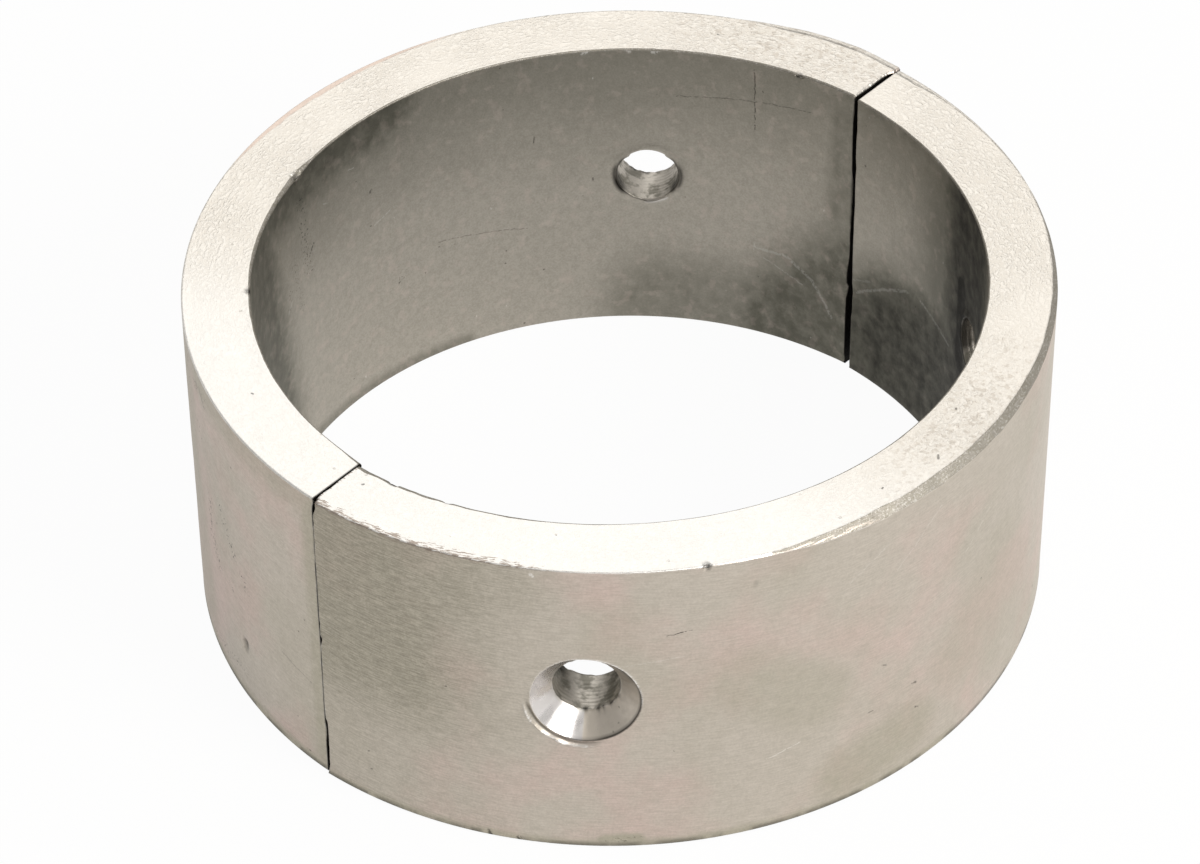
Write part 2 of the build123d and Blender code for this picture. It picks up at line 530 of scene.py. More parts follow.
class Skin:
    """Points and four-sided faces of a piece, as they are gathered."""

    def __init__(self):
        self.points, self.marks, self.faces, self.slots = [], [], [], []
        self.count = 0

    def add(self, points, marks):
        """Adds an array of points with their marks, and gives their numbers in the same layout."""
        shape = points.shape[:-1]
        self.points.append(points.reshape(-1, 3))
        self.marks.append(np.broadcast_to(marks, (*shape, marks.shape[-1])).reshape(-1, marks.shape[-1]))
        numbers = np.arange(self.count, self.count + len(self.points[-1])).reshape(shape)
        self.count += numbers.size
        return numbers

    def cover(self, numbers, slots, keep=None):
        """Covers a grid of numbered points with faces; slots gives the finish of each."""
        quads = np.stack([numbers[:-1, :-1], numbers[1:, :-1], numbers[1:, 1:], numbers[:-1, 1:]], -1)
        slots = np.broadcast_to(slots, quads.shape[:2])
        keep = np.ones(quads.shape[:2], bool) if keep is None else keep
        self.faces.append(quads[keep])
        self.slots.append(slots[keep])

    def mesh(self, name):
        """The finished mesh, in metres."""
        points = np.concatenate(self.points) * MM
        faces = np.concatenate(self.faces)
        made = bpy.data.meshes.new(name)
        made.from_pydata(points.tolist(), [], faces.tolist())
        made.polygons.foreach_set("material_index", np.concatenate(self.slots).astype(np.int32))
        made.polygons.foreach_set("use_smooth", np.ones(len(faces), bool))
        marks = np.concatenate(self.marks)
        unrolled = made.attributes.new("unrolled", "FLOAT_VECTOR", "POINT")
        unrolled.data.foreach_set("vector", marks[:, :3].astype(np.float32).ravel())
        for place, mark in enumerate(MARKS, 3):
            layer = made.attributes.new(mark, "FLOAT", "POINT")
            layer.data.foreach_set("value", marks[:, place].astype(np.float32))
        made.update()
        return made


def from_arris(s, stations, radius, height):
    """Distance of each point to the nearest arris and to the saw cut, in millimetres."""
    outer, bore, top = s.outer_radius / MM, s.bore_radius / MM, s.height / MM
    away = from_cut(s, stations, radius)
    near = np.zeros_like(radius)
    for name in ("outer", "inner"):
        part = ROWS[name]
        near[:, part] = np.minimum(height[:, part], top - height[:, part])
    for name in ("top", "bottom"):
        part = ROWS[name]
        near[:, part] = np.minimum(outer - radius[:, part], radius[:, part] - bore)
    return np.minimum(np.maximum(near, 0), away), away


def wear_marks(s, half, stations, radius, height, away):
    """Shares of soil, dark joints and painted shade, of burnish and painted light, and of torn metal at each
    point, from 0 to 1.
    """
    degrees = np.degrees(stations)[:, None]
    outer, bore, top = s.outer_radius / MM, s.bore_radius / MM, s.height / MM
    corner = np.zeros((1, LOOP))
    corner[0, ROWS["top_outer"]] = hill(CORNER, 0.88, 0.12)
    lower = np.zeros((1, LOOP))
    lower[0, ROWS["top_outer"]] = 1 - ramp(CORNER, 0.3, 0.7)
    edge = np.zeros((1, LOOP))
    edge[0, ROWS["top_outer"]] = 1 - ramp(CORNER, 0.85, 1)
    broken = 0.35 + 0.6 * ramp(rough(degrees, 0, 2.0, half.seed + 64), -0.5, 0.1)
    # Dark joints along the saw cuts, and painted shade in the groove along the ledge
    grime = np.maximum(np.exp(-((away / 0.115) ** 2)), half.along("ledge", degrees) * corner * broken)
    # Dents darkened: partly soil, partly painted shade in the hollow
    for wall, at, level, size, deep in half.dents:
        face = outer if wall == "outer" else bore
        across = np.radians(degrees - at) * face
        gap = np.sqrt(across**2 + (height - level) ** 2 + (radius - face) ** 2)
        grime = np.maximum(grime, 0.85 * np.exp(-((gap / (size * 1.05)) ** 4)) * min(1, deep * 3))
    from_edge = np.hypot(radius - outer, height - top)
    by_cut = 0.9 * np.exp(-((away / 0.55) ** 2)) * (height > top - 0.8)
    reach = np.where(height > top - 0.05, 1.45, 1.1)
    fringe = half.along("tears", degrees) * np.maximum(np.exp(-((from_edge / reach) ** 2)), by_cut)
    band = ramp(half.along("band", degrees), 0.15, 0.5)
    # Painted glint along the lip under the front bevel; the band on the rear top is burnished
    shine = 0.75 * half.along("shine", degrees) * lower + band * edge
    # Painted shade: the top of the tab by the rear joint turns beige
    on_tab = (radius > outer - 1.7) * (height > top - 1) * (degrees < 0) * (half.flash > 0)
    shine = np.maximum(shine, np.exp(-((away / 0.35) ** 2)) * on_tab)
    # Painted shadow: a dark line along the foot of the outer wall, where it stands on the floor
    foot = np.zeros((1, LOOP))
    foot[0, ROWS["bottom_outer"]] = 1
    foot[0, ROWS["outer"].start] = 0.8
    grime = np.maximum(grime, 0.55 * foot * ramp(rough(degrees, 0, 2.5, half.seed + 65), -0.7, 0.3))
    return np.stack([grime, shine, fringe], -1)


def slots_of_loop(half, stations):
    """Finish of the faces between each row of the section and the next, at every station."""
    slots = np.full(LOOP, EDGE)
    slots[ROWS["outer"].start - 1 : ROWS["outer"].stop] = TURNED
    slots[ROWS["top"].start - 1 : ROWS["top"].stop] = TOP
    slots[ROWS["inner"].start - 1 : ROWS["bottom_inner"].stop] = CAST
    slots[ROWS["bottom"].start - 1 : ROWS["bottom"].stop] = TOP
    degrees = np.degrees((stations[1:] + stations[:-1]) / 2)
    slots = np.repeat(slots[None], len(degrees), 0)
    plain = half.along("bevel", degrees) < PLAIN_BEVEL
    slots[plain, ROWS["top_outer"]] = TOP
    return slots


def half_skin(s, half):
    """All of a half's surface."""
    outer, kerf = s.outer_radius / MM, s.half_kerf / MM
    stations = station_angles(s, half)
    radius, height = worn_rows(s, half, stations, *section_rows(s, half, stations))
    end = cut_angle(s)
    blend = ramp(np.abs(stations), end - math.radians(7), end)[:, None] * np.sign(stations)[:, None]
    turn = stations[:, None] + blend * (np.arccos(kerf / radius) - end)
    points = np.stack([radius * np.sin(turn), -radius * np.cos(turn), height], -1)
    points[..., 1] += end_shift(s, half, stations, radius, height)
    near, away = from_arris(s, stations, radius, height)
    place = np.stack([turn * outer, height, radius, near], -1)
    marks = np.concatenate([place, wear_marks(s, half, stations, radius, height, away)], -1)
    skin = Skin()
    numbers = skin.add(points, marks)
    loop = np.concatenate([numbers, numbers[:, :1]], 1)
    keep = np.ones((len(stations) - 1, LOOP), bool)
    for side in half.holes:
        screw_hole(s, half, skin, side * s.hole_offset, stations, points, numbers, keep)
    skin.cover(loop, slots_of_loop(half, stations), keep)
    for column, flip in ((0, False), (-1, True)):
        sawn_face(skin, points[column], marks[column], numbers[column], flip)
    return skin


def end_shift(s, half, stations, radius, height):
    """How far the metal near the saw cuts lies short of them, so that a joint opens or closes a little."""
    end = cut_angle(s)
    outer, top = s.outer_radius / MM, s.height / MM
    shift = 0
    for side, gap in zip((-1, 1), half.gaps):
        near = 1 - ramp((end - side * stations)[:, None] * outer, 0, 5)
        wave = np.interp(height, *gap) + 0.03 * rough(height, 0, 5, half.seed + 90 + side)
        if side < 0:
            tab = ramp(radius, outer - 1.5, outer - 1.2) * ramp(height, top - 3, top - 2)
            closing = 0.7 * (half.flash > 0) * ramp(radius, outer - 3.5, outer - 0.8)
            wave = wave * (1 - closing) * (1 - tab) - half.flash * tab
        shift = shift - near * wave
    return shift


def sawn_face(skin, points, marks, numbers, flip):
    """Fills a half's end with a grid between its four sides."""
    corners = [
        ROWS["bottom_outer"].start + 2,
        ROWS["top_outer"].start + 4,
        ROWS["top_inner"].start + 4,
        ROWS["bottom_inner"].start + 2,
    ]
    ring = np.arange(LOOP + corners[0] + 1) % LOOP
    up = ring[corners[0] : corners[1] + 1]
    across = ring[corners[1] : corners[2] + 1]
    down = ring[corners[2] : corners[3] + 1][::-1]
    under = ring[corners[3] :][::-1]
    u = np.linspace(0, 1, len(up))[:, None, None]
    v = np.linspace(0, 1, len(across))[None, :, None]
    data = np.concatenate([points, marks], -1)
    sides = (1 - v) * data[up][:, None] + v * data[down][:, None]
    ends = (1 - u) * data[under][None] + u * data[across][None]
    square = (1 - u) * ((1 - v) * data[up[0]] + v * data[down[0]]) + u * (
        (1 - v) * data[up[-1]] + v * data[down[-1]]
    )
    grid = (sides + ends - square)[1:-1, 1:-1]
    inside = skin.add(grid[..., :3], grid[..., 3:])
    full = np.zeros((len(up), len(across)), int)
    full[:, 0], full[:, -1] = numbers[up], numbers[down]
    full[0], full[-1] = numbers[under], numbers[across]
    full[1:-1, 1:-1] = inside
    skin.cover(full[:, ::-1] if flip else full, np.array([[SAWN]]))


# Rings of a screw hole. LIP_RINGS are distances outside its rim, where the drilling shaped the wall, and
# FAR_RINGS shares of the way on to the edge of its square. CONE_RINGS are shares of the way down the cone.
LIP_RINGS = np.array([0, 0.07, 0.18, 0.3, 0.42, 0.55, 0.68, 0.82, 0.96, 1.12, 1.35, 1.7, 2.3])
FAR_RINGS = np.array([0.3, 0.62])
CONE_RINGS = np.array([0.02, 0.06, 0.14, 0.24, 0.34, 0.44, 0.54, 0.64, 0.74, 0.83, 0.9, 0.95, 0.98])
BORE_RINGS = 40


def screw_hole(s, half, skin, at, stations, points, numbers, keep):
    """Cuts a hole's square out of both walls and fills it with rings: wall, cone, bore and inner wall."""
    outer, bore = s.outer_radius / MM, s.bore_radius / MM
    hole, sink, patch = s.hole_radius / MM, s.sink_radius / MM, s.patch / MM
    middle = s.hole_height / MM
    first, last = np.searchsorted(stations, [at - patch / outer, at + patch / outer])
    row = int(np.searchsorted(points[first, ROWS["outer"], 2], middle - patch))
    rows = int(np.searchsorted(points[first, ROWS["outer"], 2], middle + patch)) - row
    low, high = ROWS["outer"].start + row, ROWS["outer"].start + row + rows
    back_low = ROWS["inner"].stop - 1 - row
    back_high = back_low - rows
    keep[first:last, low:high] = False
    keep[first:last, back_high:back_low] = False
    across, up = np.arange(first, last), np.arange(rows)
    station = np.concatenate([across, np.full(rows, last), across[::-1] + 1, np.full(rows, first)])
    climb = np.concatenate([np.zeros(len(across), int), up, np.full(len(across), rows), up[::-1] + 1])
    rim_numbers = numbers[station, low + climb], numbers[station, back_low - climb]
    axis = np.array([math.sin(at), -math.cos(at), 0])
    side = np.array([math.cos(at), math.sin(at), 0])
    rims = [points[station, low + climb], points[station, back_low - climb]]
    flat = [np.stack([rim @ side, rim[:, 2] - middle], -1) for rim in rims]
    count = len(station)
    start = math.atan2(flat[0][0, 1], flat[0][0, 0])
    turns = start + np.arange(count) * 2 * np.pi / count
    spoke = np.stack([np.cos(turns), np.sin(turns)], -1)

    def wall(place, base, relief):
        """Points of a curved wall over places in the hole's own plane."""
        lean = np.arcsin(place[..., 0] / base)
        r = base + relief(np.degrees(at + lean), middle + place[..., 1])
        lift = (r * np.cos(lean))[..., None] * axis
        made = lift + (r * np.sin(lean))[..., None] * side
        made[..., 2] = middle + place[..., 1]
        return made

    def tube(ring_radius, depth):
        """Points round the hole's axis at a radius and a distance from the half's axis."""
        made = depth[..., None] * axis + (ring_radius * spoke[:, 0])[..., None] * side
        made[..., 2] = middle + ring_radius * spoke[:, 1]
        return made

    cone = outer - (sink - hole)
    offset = cone - hole
    square = 1 + spoke[:, 0] ** 2
    rim = (-2 * offset + np.sqrt(4 * offset**2 - 4 * square * (offset**2 - outer**2))) / (2 * square)
    rim = rim * (1 + 0.006 * rough(turns * 8, 0, 4, half.seed + 100))
    rim = rim * (1 - np.where(spoke[:, 1] < 0, 0.07, 0.02) * spoke[:, 1] ** 2)
    lips = (rim + LIP_RINGS[:, None])[..., None] * spoke
    far = [lips[-1] + (flat[0] - lips[-1]) * share for share in FAR_RINGS]
    on_wall = np.stack([*far[::-1], *lips[::-1]])
    outside = wall(on_wall, outer, lambda degrees, z: outer_relief(degrees, z, half, s.height / MM))
    outside[len(FAR_RINGS) :] += lip_height(turns, LIP_RINGS[::-1, None])[..., None] * axis

    share = CONE_RINGS[:, None]
    rim_depth = np.sqrt(outer**2 - (rim * spoke[:, 0]) ** 2)
    cone_radius = rim + (hole - rim) * share
    cone_depth = rim_depth + (cone - rim_depth) * share
    chatter = 0.012 * np.sin(turns * 23)[None] * np.sin(np.pi * share)
    countersink = tube(cone_radius + chatter, cone_depth)

    depths = np.linspace(cone, bore, BORE_RINGS)[:, None]
    helix = np.sin(2 * np.pi * (depths / 0.62 + turns / (2 * np.pi)))
    tool = 0.035 * helix + 0.03 * rough(turns * 4, depths, 0.9, half.seed + 110)
    tool = tool + 0.10 * ramp(depths, cone - 0.6, cone) * rough(turns * 4, depths, 0.6, half.seed + 111)
    drilled = tube(hole + tool * ramp(depths, bore + 0.2, bore + 0.8), depths)

    mouth = (hole + 0.05) * (1 + 0.01 * rough(turns * 8, 0, 5, half.seed + 120))
    mouth = mouth - 0.30 * ramp(np.sin(turns), 0.5, 0.95) * ramp(rough(turns * 5, 0, 1.6, 5), -0.1, 0.7)
    insides = (mouth + LIP_RINGS[:, None])[..., None] * spoke
    far = [insides[-1] + (flat[1] - insides[-1]) * share for share in FAR_RINGS]
    inside = wall(np.stack([*insides, *far]), bore, lambda degrees, z: inner_relief(degrees, z, half))
    inside[: len(LIP_RINGS)] -= inner_lip(turns, LIP_RINGS[:, None])[..., None] * axis

    rings = np.concatenate([outside, countersink, drilled, inside])
    turned = np.arctan2(rings[..., 0], -rings[..., 1])
    r = np.hypot(rings[..., 0], rings[..., 1])
    rest = np.full(len(FAR_RINGS), 3.0)
    from_rim = [rest, LIP_RINGS[::-1], CONE_RINGS * 4, np.full(BORE_RINGS, 2), LIP_RINGS, rest]
    from_rim = np.broadcast_to(np.concatenate(from_rim)[:, None], r.shape)
    wear = hole_wear(turns, len(outside), len(rings), half.seed)
    marks = np.stack([turned * outer, rings[..., 2], r, from_rim, *wear], -1)
    made = skin.add(rings, marks)
    full = np.concatenate([rim_numbers[0][None], made, rim_numbers[1][None]])
    full = np.concatenate([full, full[:, :1]], 1)
    bands = [len(outside), len(CONE_RINGS) + 1 + BORE_RINGS, len(inside)]
    skin.cover(full.swapaxes(0, 1), np.repeat([TURNED, DRILLED, CAST], bands)[None])


def facing(turns, degrees, start, end):
    """1 round a hole towards the given angle and 0 away from it; start and end are cosines."""
    return ramp(np.cos(turns - math.radians(degrees)), start, end)


def lip_height(turns, away):
    """Burr that the countersink threw up outside its rim, low and to the left, with a groove inside it."""
    crest = 0.50 * hill(away, 0.9, 0.12) - 0.12 * hill(away, 0.42, 0.2)
    ragged = 1 + 0.45 * rough(turns * 9, 0, 1.2, 7)
    return facing(turns, 236, 0.62, 0.8) * crest * ragged + 0.05 * hill(away, 0, 0.25)


def inner_lip(turns, away):
    """Metal that the drill pushed up round the inner mouth, most at its top and bottom."""
    burr = 0.08 + 0.05 * rough(turns * 6, 0, 2.5, 9) + 0.30 * facing(turns, 255, 0.90, 0.97)
    return burr * hill(away, 0.15, 0.3) + 0.06 * hill(away, 0.6, 0.4)


def hole_wear(turns, outside, count, seed):
    """Shares of darkening, of bright lip and of matt metal on the rings of a hole, from its outside inwards.

    The darkening is painted shadow in most places, with crumbs of torn metal, and the bright lip is painted
    highlight.
    """
    darkening, shine = np.zeros((count, len(turns))), np.zeros((count, len(turns)))
    away = LIP_RINGS[::-1, None]
    rim = slice(outside - len(LIP_RINGS), outside)
    low_left, high_right = (facing(turns, at, 0.55, 0.8) for at in (236, 40))
    low_right = facing(turns, 310, 0.2, 0.5)
    ragged = ramp(rough(turns * 6, 0, 1.1, seed + 131), -0.5, 0.1)
    # Painted highlights: the burr's crest low on the left, and the rim high on the right
    shine[rim] = hill(away, 0.9, 0.16) * low_left * ragged + hill(away, 0.05, 0.12) * high_right
    # Painted shade in the groove inside the burr, and a painted shadow line along the rim low on the right
    darkening[rim] = 0.55 * hill(away, 0.45, 0.16) * low_left + 0.8 * hill(away, 0, 0.1) * low_right
    cone = slice(outside, outside + len(CONE_RINGS))
    down = CONE_RINGS[:, None]
    # Painted shadow along the cone's rim low on the right; the cone is also darker near its rim on the upper
    # right
    darkening[cone] = 0.85 * (1 - ramp(down, 0.02, 0.1)) * low_right * (1 - 0.6 * low_left)
    darkening[cone] += 0.5 * (1 - ramp(down, 0.1, 0.6)) * facing(turns, 55, 0.75, 0.95)
    torn = ramp(rough(turns * 5, 0, 0.9, seed + 130), -0.3, 0.3) * facing(turns, 292, 0.55, 0.85)
    steps = np.arange(-6, 5)
    width = 1.7 * np.abs(1 + 0.8 * rough(turns * 9, 0, 1.3, seed + 134)) + 0.3
    crumbs = 0.85 * torn * hill(steps[:, None], 0, width)
    darkening[cone.stop + steps] = np.maximum(darkening[cone.stop + steps], crumbs)
    matt = np.zeros_like(darkening)
    wavering = turns + 0.12 * rough(turns * 9, 0, 1.5, seed + 133)
    matt[outside - 3 : cone.stop] = facing(wavering, 352, 0.05, 0.14)
    mouth = slice(count - len(LIP_RINGS) - len(FAR_RINGS), count - len(FAR_RINGS))
    away = LIP_RINGS[:, None]
    # Painted shadows: dark crescents left and right of the inner mouth
    sides = ramp(np.abs(np.cos(turns + 0.15)), 0.70, 0.92) * (1 - ramp(np.sin(turns), 0.2, 0.6))
    darkening[mouth] = 0.8 * hill(away, 0.30, 0.32) * sides
    darkening[mouth] += 0.6 * hill(away, 0.07, 0.14) * facing(turns, 305, 0.5, 0.8)
    # Painted highlight: a bright spot low on the left of the inner mouth
    shine[mouth] = hill(away, 0.35, 0.2) * facing(turns, 255, 0.92, 0.97)
    # Painted shadow also on the left and right of the inner mouth and of the bore just inside it
    both = ramp(np.abs(np.cos(turns)), 0.60, 0.85)
    darkening[mouth] = np.maximum(darkening[mouth], 0.8 * hill(away, 0.05, 0.25) * both)
    inmost = slice(mouth.start - 16, mouth.start)
    darkening[inmost] = np.maximum(darkening[inmost], 0.8 * ramp(np.arange(16)[:, None], 0, 12) * both)
    return np.clip(darkening, 0, 1), np.clip(shine, 0, 1), matt


# ---------------------------------------------------------------- Shader tools


class Graph:
    """Short way to add and join the nodes of one tree."""

    def __init__(self, tree):
        self.tree = tree

    def put(self, socket, value):
        """Joins an input to a socket, or sets it to a number, a vector or a colour."""
        if isinstance(value, bpy.types.NodeSocket):
            self.tree.links.new(value, socket)
        elif value is not None:
            socket.default_value = value

    def fill(self, node, named):
        """Fills inputs by name, with _ for a space in the name."""
        for name, value in named.items():
            self.put(node.inputs[name.replace("_", " ")], value)

    def add(self, kind, settings=None, *values, **named):
        """A new node, with its settings, and with numbers or sockets put into its inputs."""
        made = self.tree.nodes.new("ShaderNode" + kind)
        for key, value in (settings or {}).items():
            setattr(made, key, value)
        for place, value in enumerate(values):
            self.put(made.inputs[place], value)
        self.fill(made, named)
        return made

    def group(self, name, **named):
        """Outputs of one of the shared effects, with its inputs set."""
        made = self.tree.nodes.new("ShaderNodeGroup")
        made.node_tree = EFFECTS[name]()
        self.fill(made, named)
        return made.outputs

    def math(self, operation, *values):
        """One step of arithmetic."""
        return self.add("Math", {"operation": operation}, *values).outputs[0]

    def many(self, operation, values):
        """The same step over several values, from the left."""
        return functools.reduce(lambda total, value: self.math(operation, total, value), values)

    def plus(self, *values):
        """Sum of several values."""
        return self.many("ADD", values)

    def times(self, *values):
        """Product of several values."""
        return self.many("MULTIPLY", values)

    def most(self, *values):
        """The largest of several values."""
        return self.many("MAXIMUM", values)

    def less(self, first, second):
        """The first value less the second."""
        return self.math("SUBTRACT", first, second)

    def over(self, first, second):
        """The first value divided by the second."""
        return self.math("DIVIDE", first, second)

    def vector(self, operation, *values):
        """One step of vector arithmetic."""
        made = self.add("VectorMath", {"operation": operation}, *values)
        return made.outputs["Value" if operation in ("LENGTH", "DOT_PRODUCT") else "Vector"]

    def scale(self, vector, by):
        """A vector made longer or shorter."""
        return self.add("VectorMath", {"operation": "SCALE"}, vector, Scale=by).outputs[0]

    def split(self, vector):
        """The three parts of a vector."""
        return self.add("SeparateXYZ", None, vector).outputs

    def join(self, *parts):
        """A vector from its parts."""
        return self.add("CombineXYZ", None, *parts).outputs[0]

    def noise(self, vector, scale, detail=2.0, rough=0.5):
        """Noise from about 0 to 1."""
        texture = self.add("TexNoise", None, Vector=vector, Scale=scale, Detail=detail, Roughness=rough)
        return texture.outputs[0]

    def shake(self, vector, scale, detail, reach):
        """A random vector that changes over the surface, up to about half of reach long."""
        made = self.add("TexNoise", None, Vector=vector, Scale=scale, Detail=detail)
        return self.scale(self.vector("SUBTRACT", made.outputs[1], (0.5, 0.5, 0.5)), reach)

    def span(self, value, start, end, low=0.0, high=1.0):
        """The value taken from start..end to low..high, smoothly and no further."""
        made = self.add("MapRange", {"interpolation_type": "SMOOTHSTEP"}, value, start, end, low, high)
        return made.outputs[0]

    def mix(self, share, first, second):
        """Mix of two colours."""
        made = self.add("Mix", {"data_type": "RGBA"})
        sockets = {socket.identifier: socket for socket in made.inputs}
        self.put(sockets["Factor_Float"], share)
        for name, value in (("A_Color", first), ("B_Color", second)):
            self.put(sockets[name], value if isinstance(value, bpy.types.NodeSocket) else solid(value))
        return next(socket for socket in made.outputs if socket.identifier == "Result_Color")

    def coats(self, tint, *coats):
        """A colour with others laid over it in turn, each with its share."""
        for share, colour in coats:
            tint = self.mix(share, tint, colour)
        return tint


def solid(value):
    """A colour of three parts with an alpha."""
    return (*value, 1.0)


EFFECTS = {}


def effect(name, inputs, outputs):
    """Decorator that makes a shared node group once, with named sockets, and hands it out again."""

    def wrap(fill):
        def build():
            if name in bpy.data.node_groups:
                return bpy.data.node_groups[name]
            tree = bpy.data.node_groups.new(name, "ShaderNodeTree")
            for socket, value in inputs.items():
                kind = "NodeSocketVector" if value is None or isinstance(value, tuple) else "NodeSocketFloat"
                made = tree.interface.new_socket(socket, in_out="INPUT", socket_type=kind)
                if value is not None:
                    made.default_value = value
            for socket in outputs:
                tree.interface.new_socket(socket, in_out="OUTPUT", socket_type="NodeSocketFloat")
            graph = Graph(tree)
            given = tree.nodes.new("NodeGroupInput")
            result = tree.nodes.new("NodeGroupOutput")
            for socket, value in fill(graph, given.outputs).items():
                tree.links.new(value, result.inputs[socket])
            return tree

        EFFECTS[name] = build
        return build

    return wrap


@effect("Cast grain", {"Vector": None, "Size": 0.6, "Coarseness": 0.5}, ("Height", "Shade"))
def cast_grain(g, given):
    """Grain of a sand or die cast skin: fine grit on soft lumps. Size is in millimetres."""
    scale = g.over(1000.0, given["Size"])
    grit = g.noise(given["Vector"], scale, 5.0, 0.62)
    lumps = g.noise(given["Vector"], g.times(scale, 0.28), 3.0, 0.5)
    share = given["Coarseness"]
    height = g.plus(g.times(grit, g.less(1.0, share)), g.times(lumps, share))
    return {"Height": height, "Shade": g.span(height, 0.32, 0.68)}


@effect("Blotches", {"Vector": None, "Size": 8.0, "Softness": 0.15, "Level": 0.5}, ("Mask",))
def blotches(g, given):
    """Large soft patches. Size is in millimetres, and a lower level covers more."""
    value = g.noise(given["Vector"], g.over(1000.0, given["Size"]), 4.0, 0.55)
    low = g.less(given["Level"], given["Softness"])
    return {"Mask": g.span(value, low, g.plus(given["Level"], given["Softness"]))}


@effect(
    "Turning lines", {"Unrolled": None, "Pitch": 0.25, "Length": 9.0, "Slope": 0.0}, ("Height", "Shade")
)
def turning_lines(g, given):
    """Broken lines that run round the ring, from the lathe and the belt. Sizes are in millimetres."""
    along, up, _ = g.split(given["Unrolled"])
    up = g.plus(up, g.times(along, given["Slope"]))
    lines = g.noise(g.join(g.over(along, given["Length"]), g.over(up, given["Pitch"])), 1.0, 3.0, 0.6)
    return {"Height": lines, "Shade": g.span(lines, 0.35, 0.65)}


@effect("Crinkle", {"Flat": None, "Size": 0.8, "Stretch": 1.7}, ("Height", "Shade"))
def crinkle(g, given):
    """Fine folds of a chilled cast skin, a little longer round the ring. Size is in millimetres."""
    shape = g.join(g.over(1.0, given["Stretch"]), 1.0, 1.0)
    place = g.scale(g.vector("MULTIPLY", given["Flat"], shape), g.over(1.0, given["Size"]))
    folds = g.noise(place, 1.0, 3.0, 0.55)
    ridge = g.math("ABSOLUTE", g.less(folds, 0.5))
    return {"Height": g.span(ridge, 0.0, 0.16), "Shade": g.span(ridge, 0.07, 0.0)}


@effect("Pits", {"Vector": None, "Size": 1.2, "Radius": 0.2, "Share": 0.2}, ("Mask",))
def pits(g, given):
    """Small ragged pits, scattered: share is how many of the places have one. Sizes are in millimetres."""
    place = g.vector("ADD", given["Vector"], g.shake(given["Vector"], 2600.0, 2.0, 0.4 * MM))
    cells = g.add("TexVoronoi", None, Vector=place, Scale=g.over(1000.0, given["Size"])).outputs
    tone = g.add("SeparateColor", None, cells["Color"]).outputs[0]
    reach = g.over(given["Radius"], given["Size"])
    deep = g.span(cells["Distance"], reach, g.times(reach, 0.4))
    return {"Mask": g.times(g.math("LESS_THAN", tone, given["Share"]), deep)}


@effect("Unsteady hand", {"Unrolled": None, "Wander": 0.15}, ("Across", "Up", "Gaps"))
def unsteady_hand(g, given):
    """The unrolled wall shaken a little, so that scratches on it waver, and a mask that breaks them up."""
    flat = g.vector("MULTIPLY", given["Unrolled"], (1.0, 1.0, 0.0))
    drift = g.shake(flat, 0.9, 3.0, g.times(given["Wander"], 4.0))
    across, up, _ = g.split(g.vector("ADD", flat, drift))
    return {"Across": across, "Up": up, "Gaps": g.span(g.noise(flat, 2.3, 2.0), 0.36, 0.52)}


@effect(
    "Scratch", {"Place": None, "Start": (0.0, 0.0, 0.0), "End": (1.0, 0.0, 0.0), "Width": 0.15}, ("Mask",)
)
def scratch(g, given):
    """One scratch or soft patch between two places of an unrolled face. Sizes are in millimetres."""
    from_start = g.vector("SUBTRACT", given["Place"], given["Start"])
    whole = g.vector("SUBTRACT", given["End"], given["Start"])
    along = g.over(g.vector("DOT_PRODUCT", from_start, whole), g.vector("DOT_PRODUCT", whole, whole))
    along = g.math("MINIMUM", g.most(along, 0.0), 1.0)
    away = g.vector("LENGTH", g.vector("SUBTRACT", from_start, g.scale(whole, along)))
    return {"Mask": g.span(away, given["Width"], g.times(given["Width"], 0.3))}


@effect("Edge wear", {"Vector": None, "Arris": 1.0, "Width": 0.5, "Raggedness": 0.6}, ("Mask",))
def edge_wear(g, given):
    """Wear that fades away from an arris. Sizes are in millimetres."""
    ragged = g.less(g.noise(given["Vector"], 1400.0, 4.0, 0.6), 0.5)
    away = g.plus(given["Arris"], g.times(ragged, g.times(given["Raggedness"], 2.0)))
    return {"Mask": g.span(away, given["Width"], 0.0)}


# ---------------------------------------------------------------- Finishes


def zinc(name, depth, fill):
    """A material with one Principled shader. Depth is that of its bumps, in millimetres.

    fill adds the nodes, and gives the sockets of the colour, the roughness and the height.
    """
    if name in bpy.data.materials:
        return bpy.data.materials[name]
    made = bpy.data.materials.new(name)
    made.use_nodes = True
    g = Graph(made.node_tree)
    shader = made.node_tree.nodes["Principled BSDF"]
    shader.inputs["Metallic"].default_value = 1.0
    given = {"place": g.add("TexCoord").outputs["Object"]}
    given["unrolled"] = g.add("Attribute", {"attribute_name": "unrolled"}).outputs["Vector"]
    for mark in MARKS:
        given[mark] = g.add("Attribute", {"attribute_name": mark}).outputs["Fac"]
    tint, roughness, height = fill(g, **given)
    g.put(shader.inputs["Base Color"], tint)
    g.put(shader.inputs["Roughness"], roughness)
    relief = g.add("Bump", None, Distance=depth * MM, Height=height)
    relief.inputs["Strength"].default_value = 1.0
    g.put(shader.inputs["Normal"], relief.outputs[0])
    return made


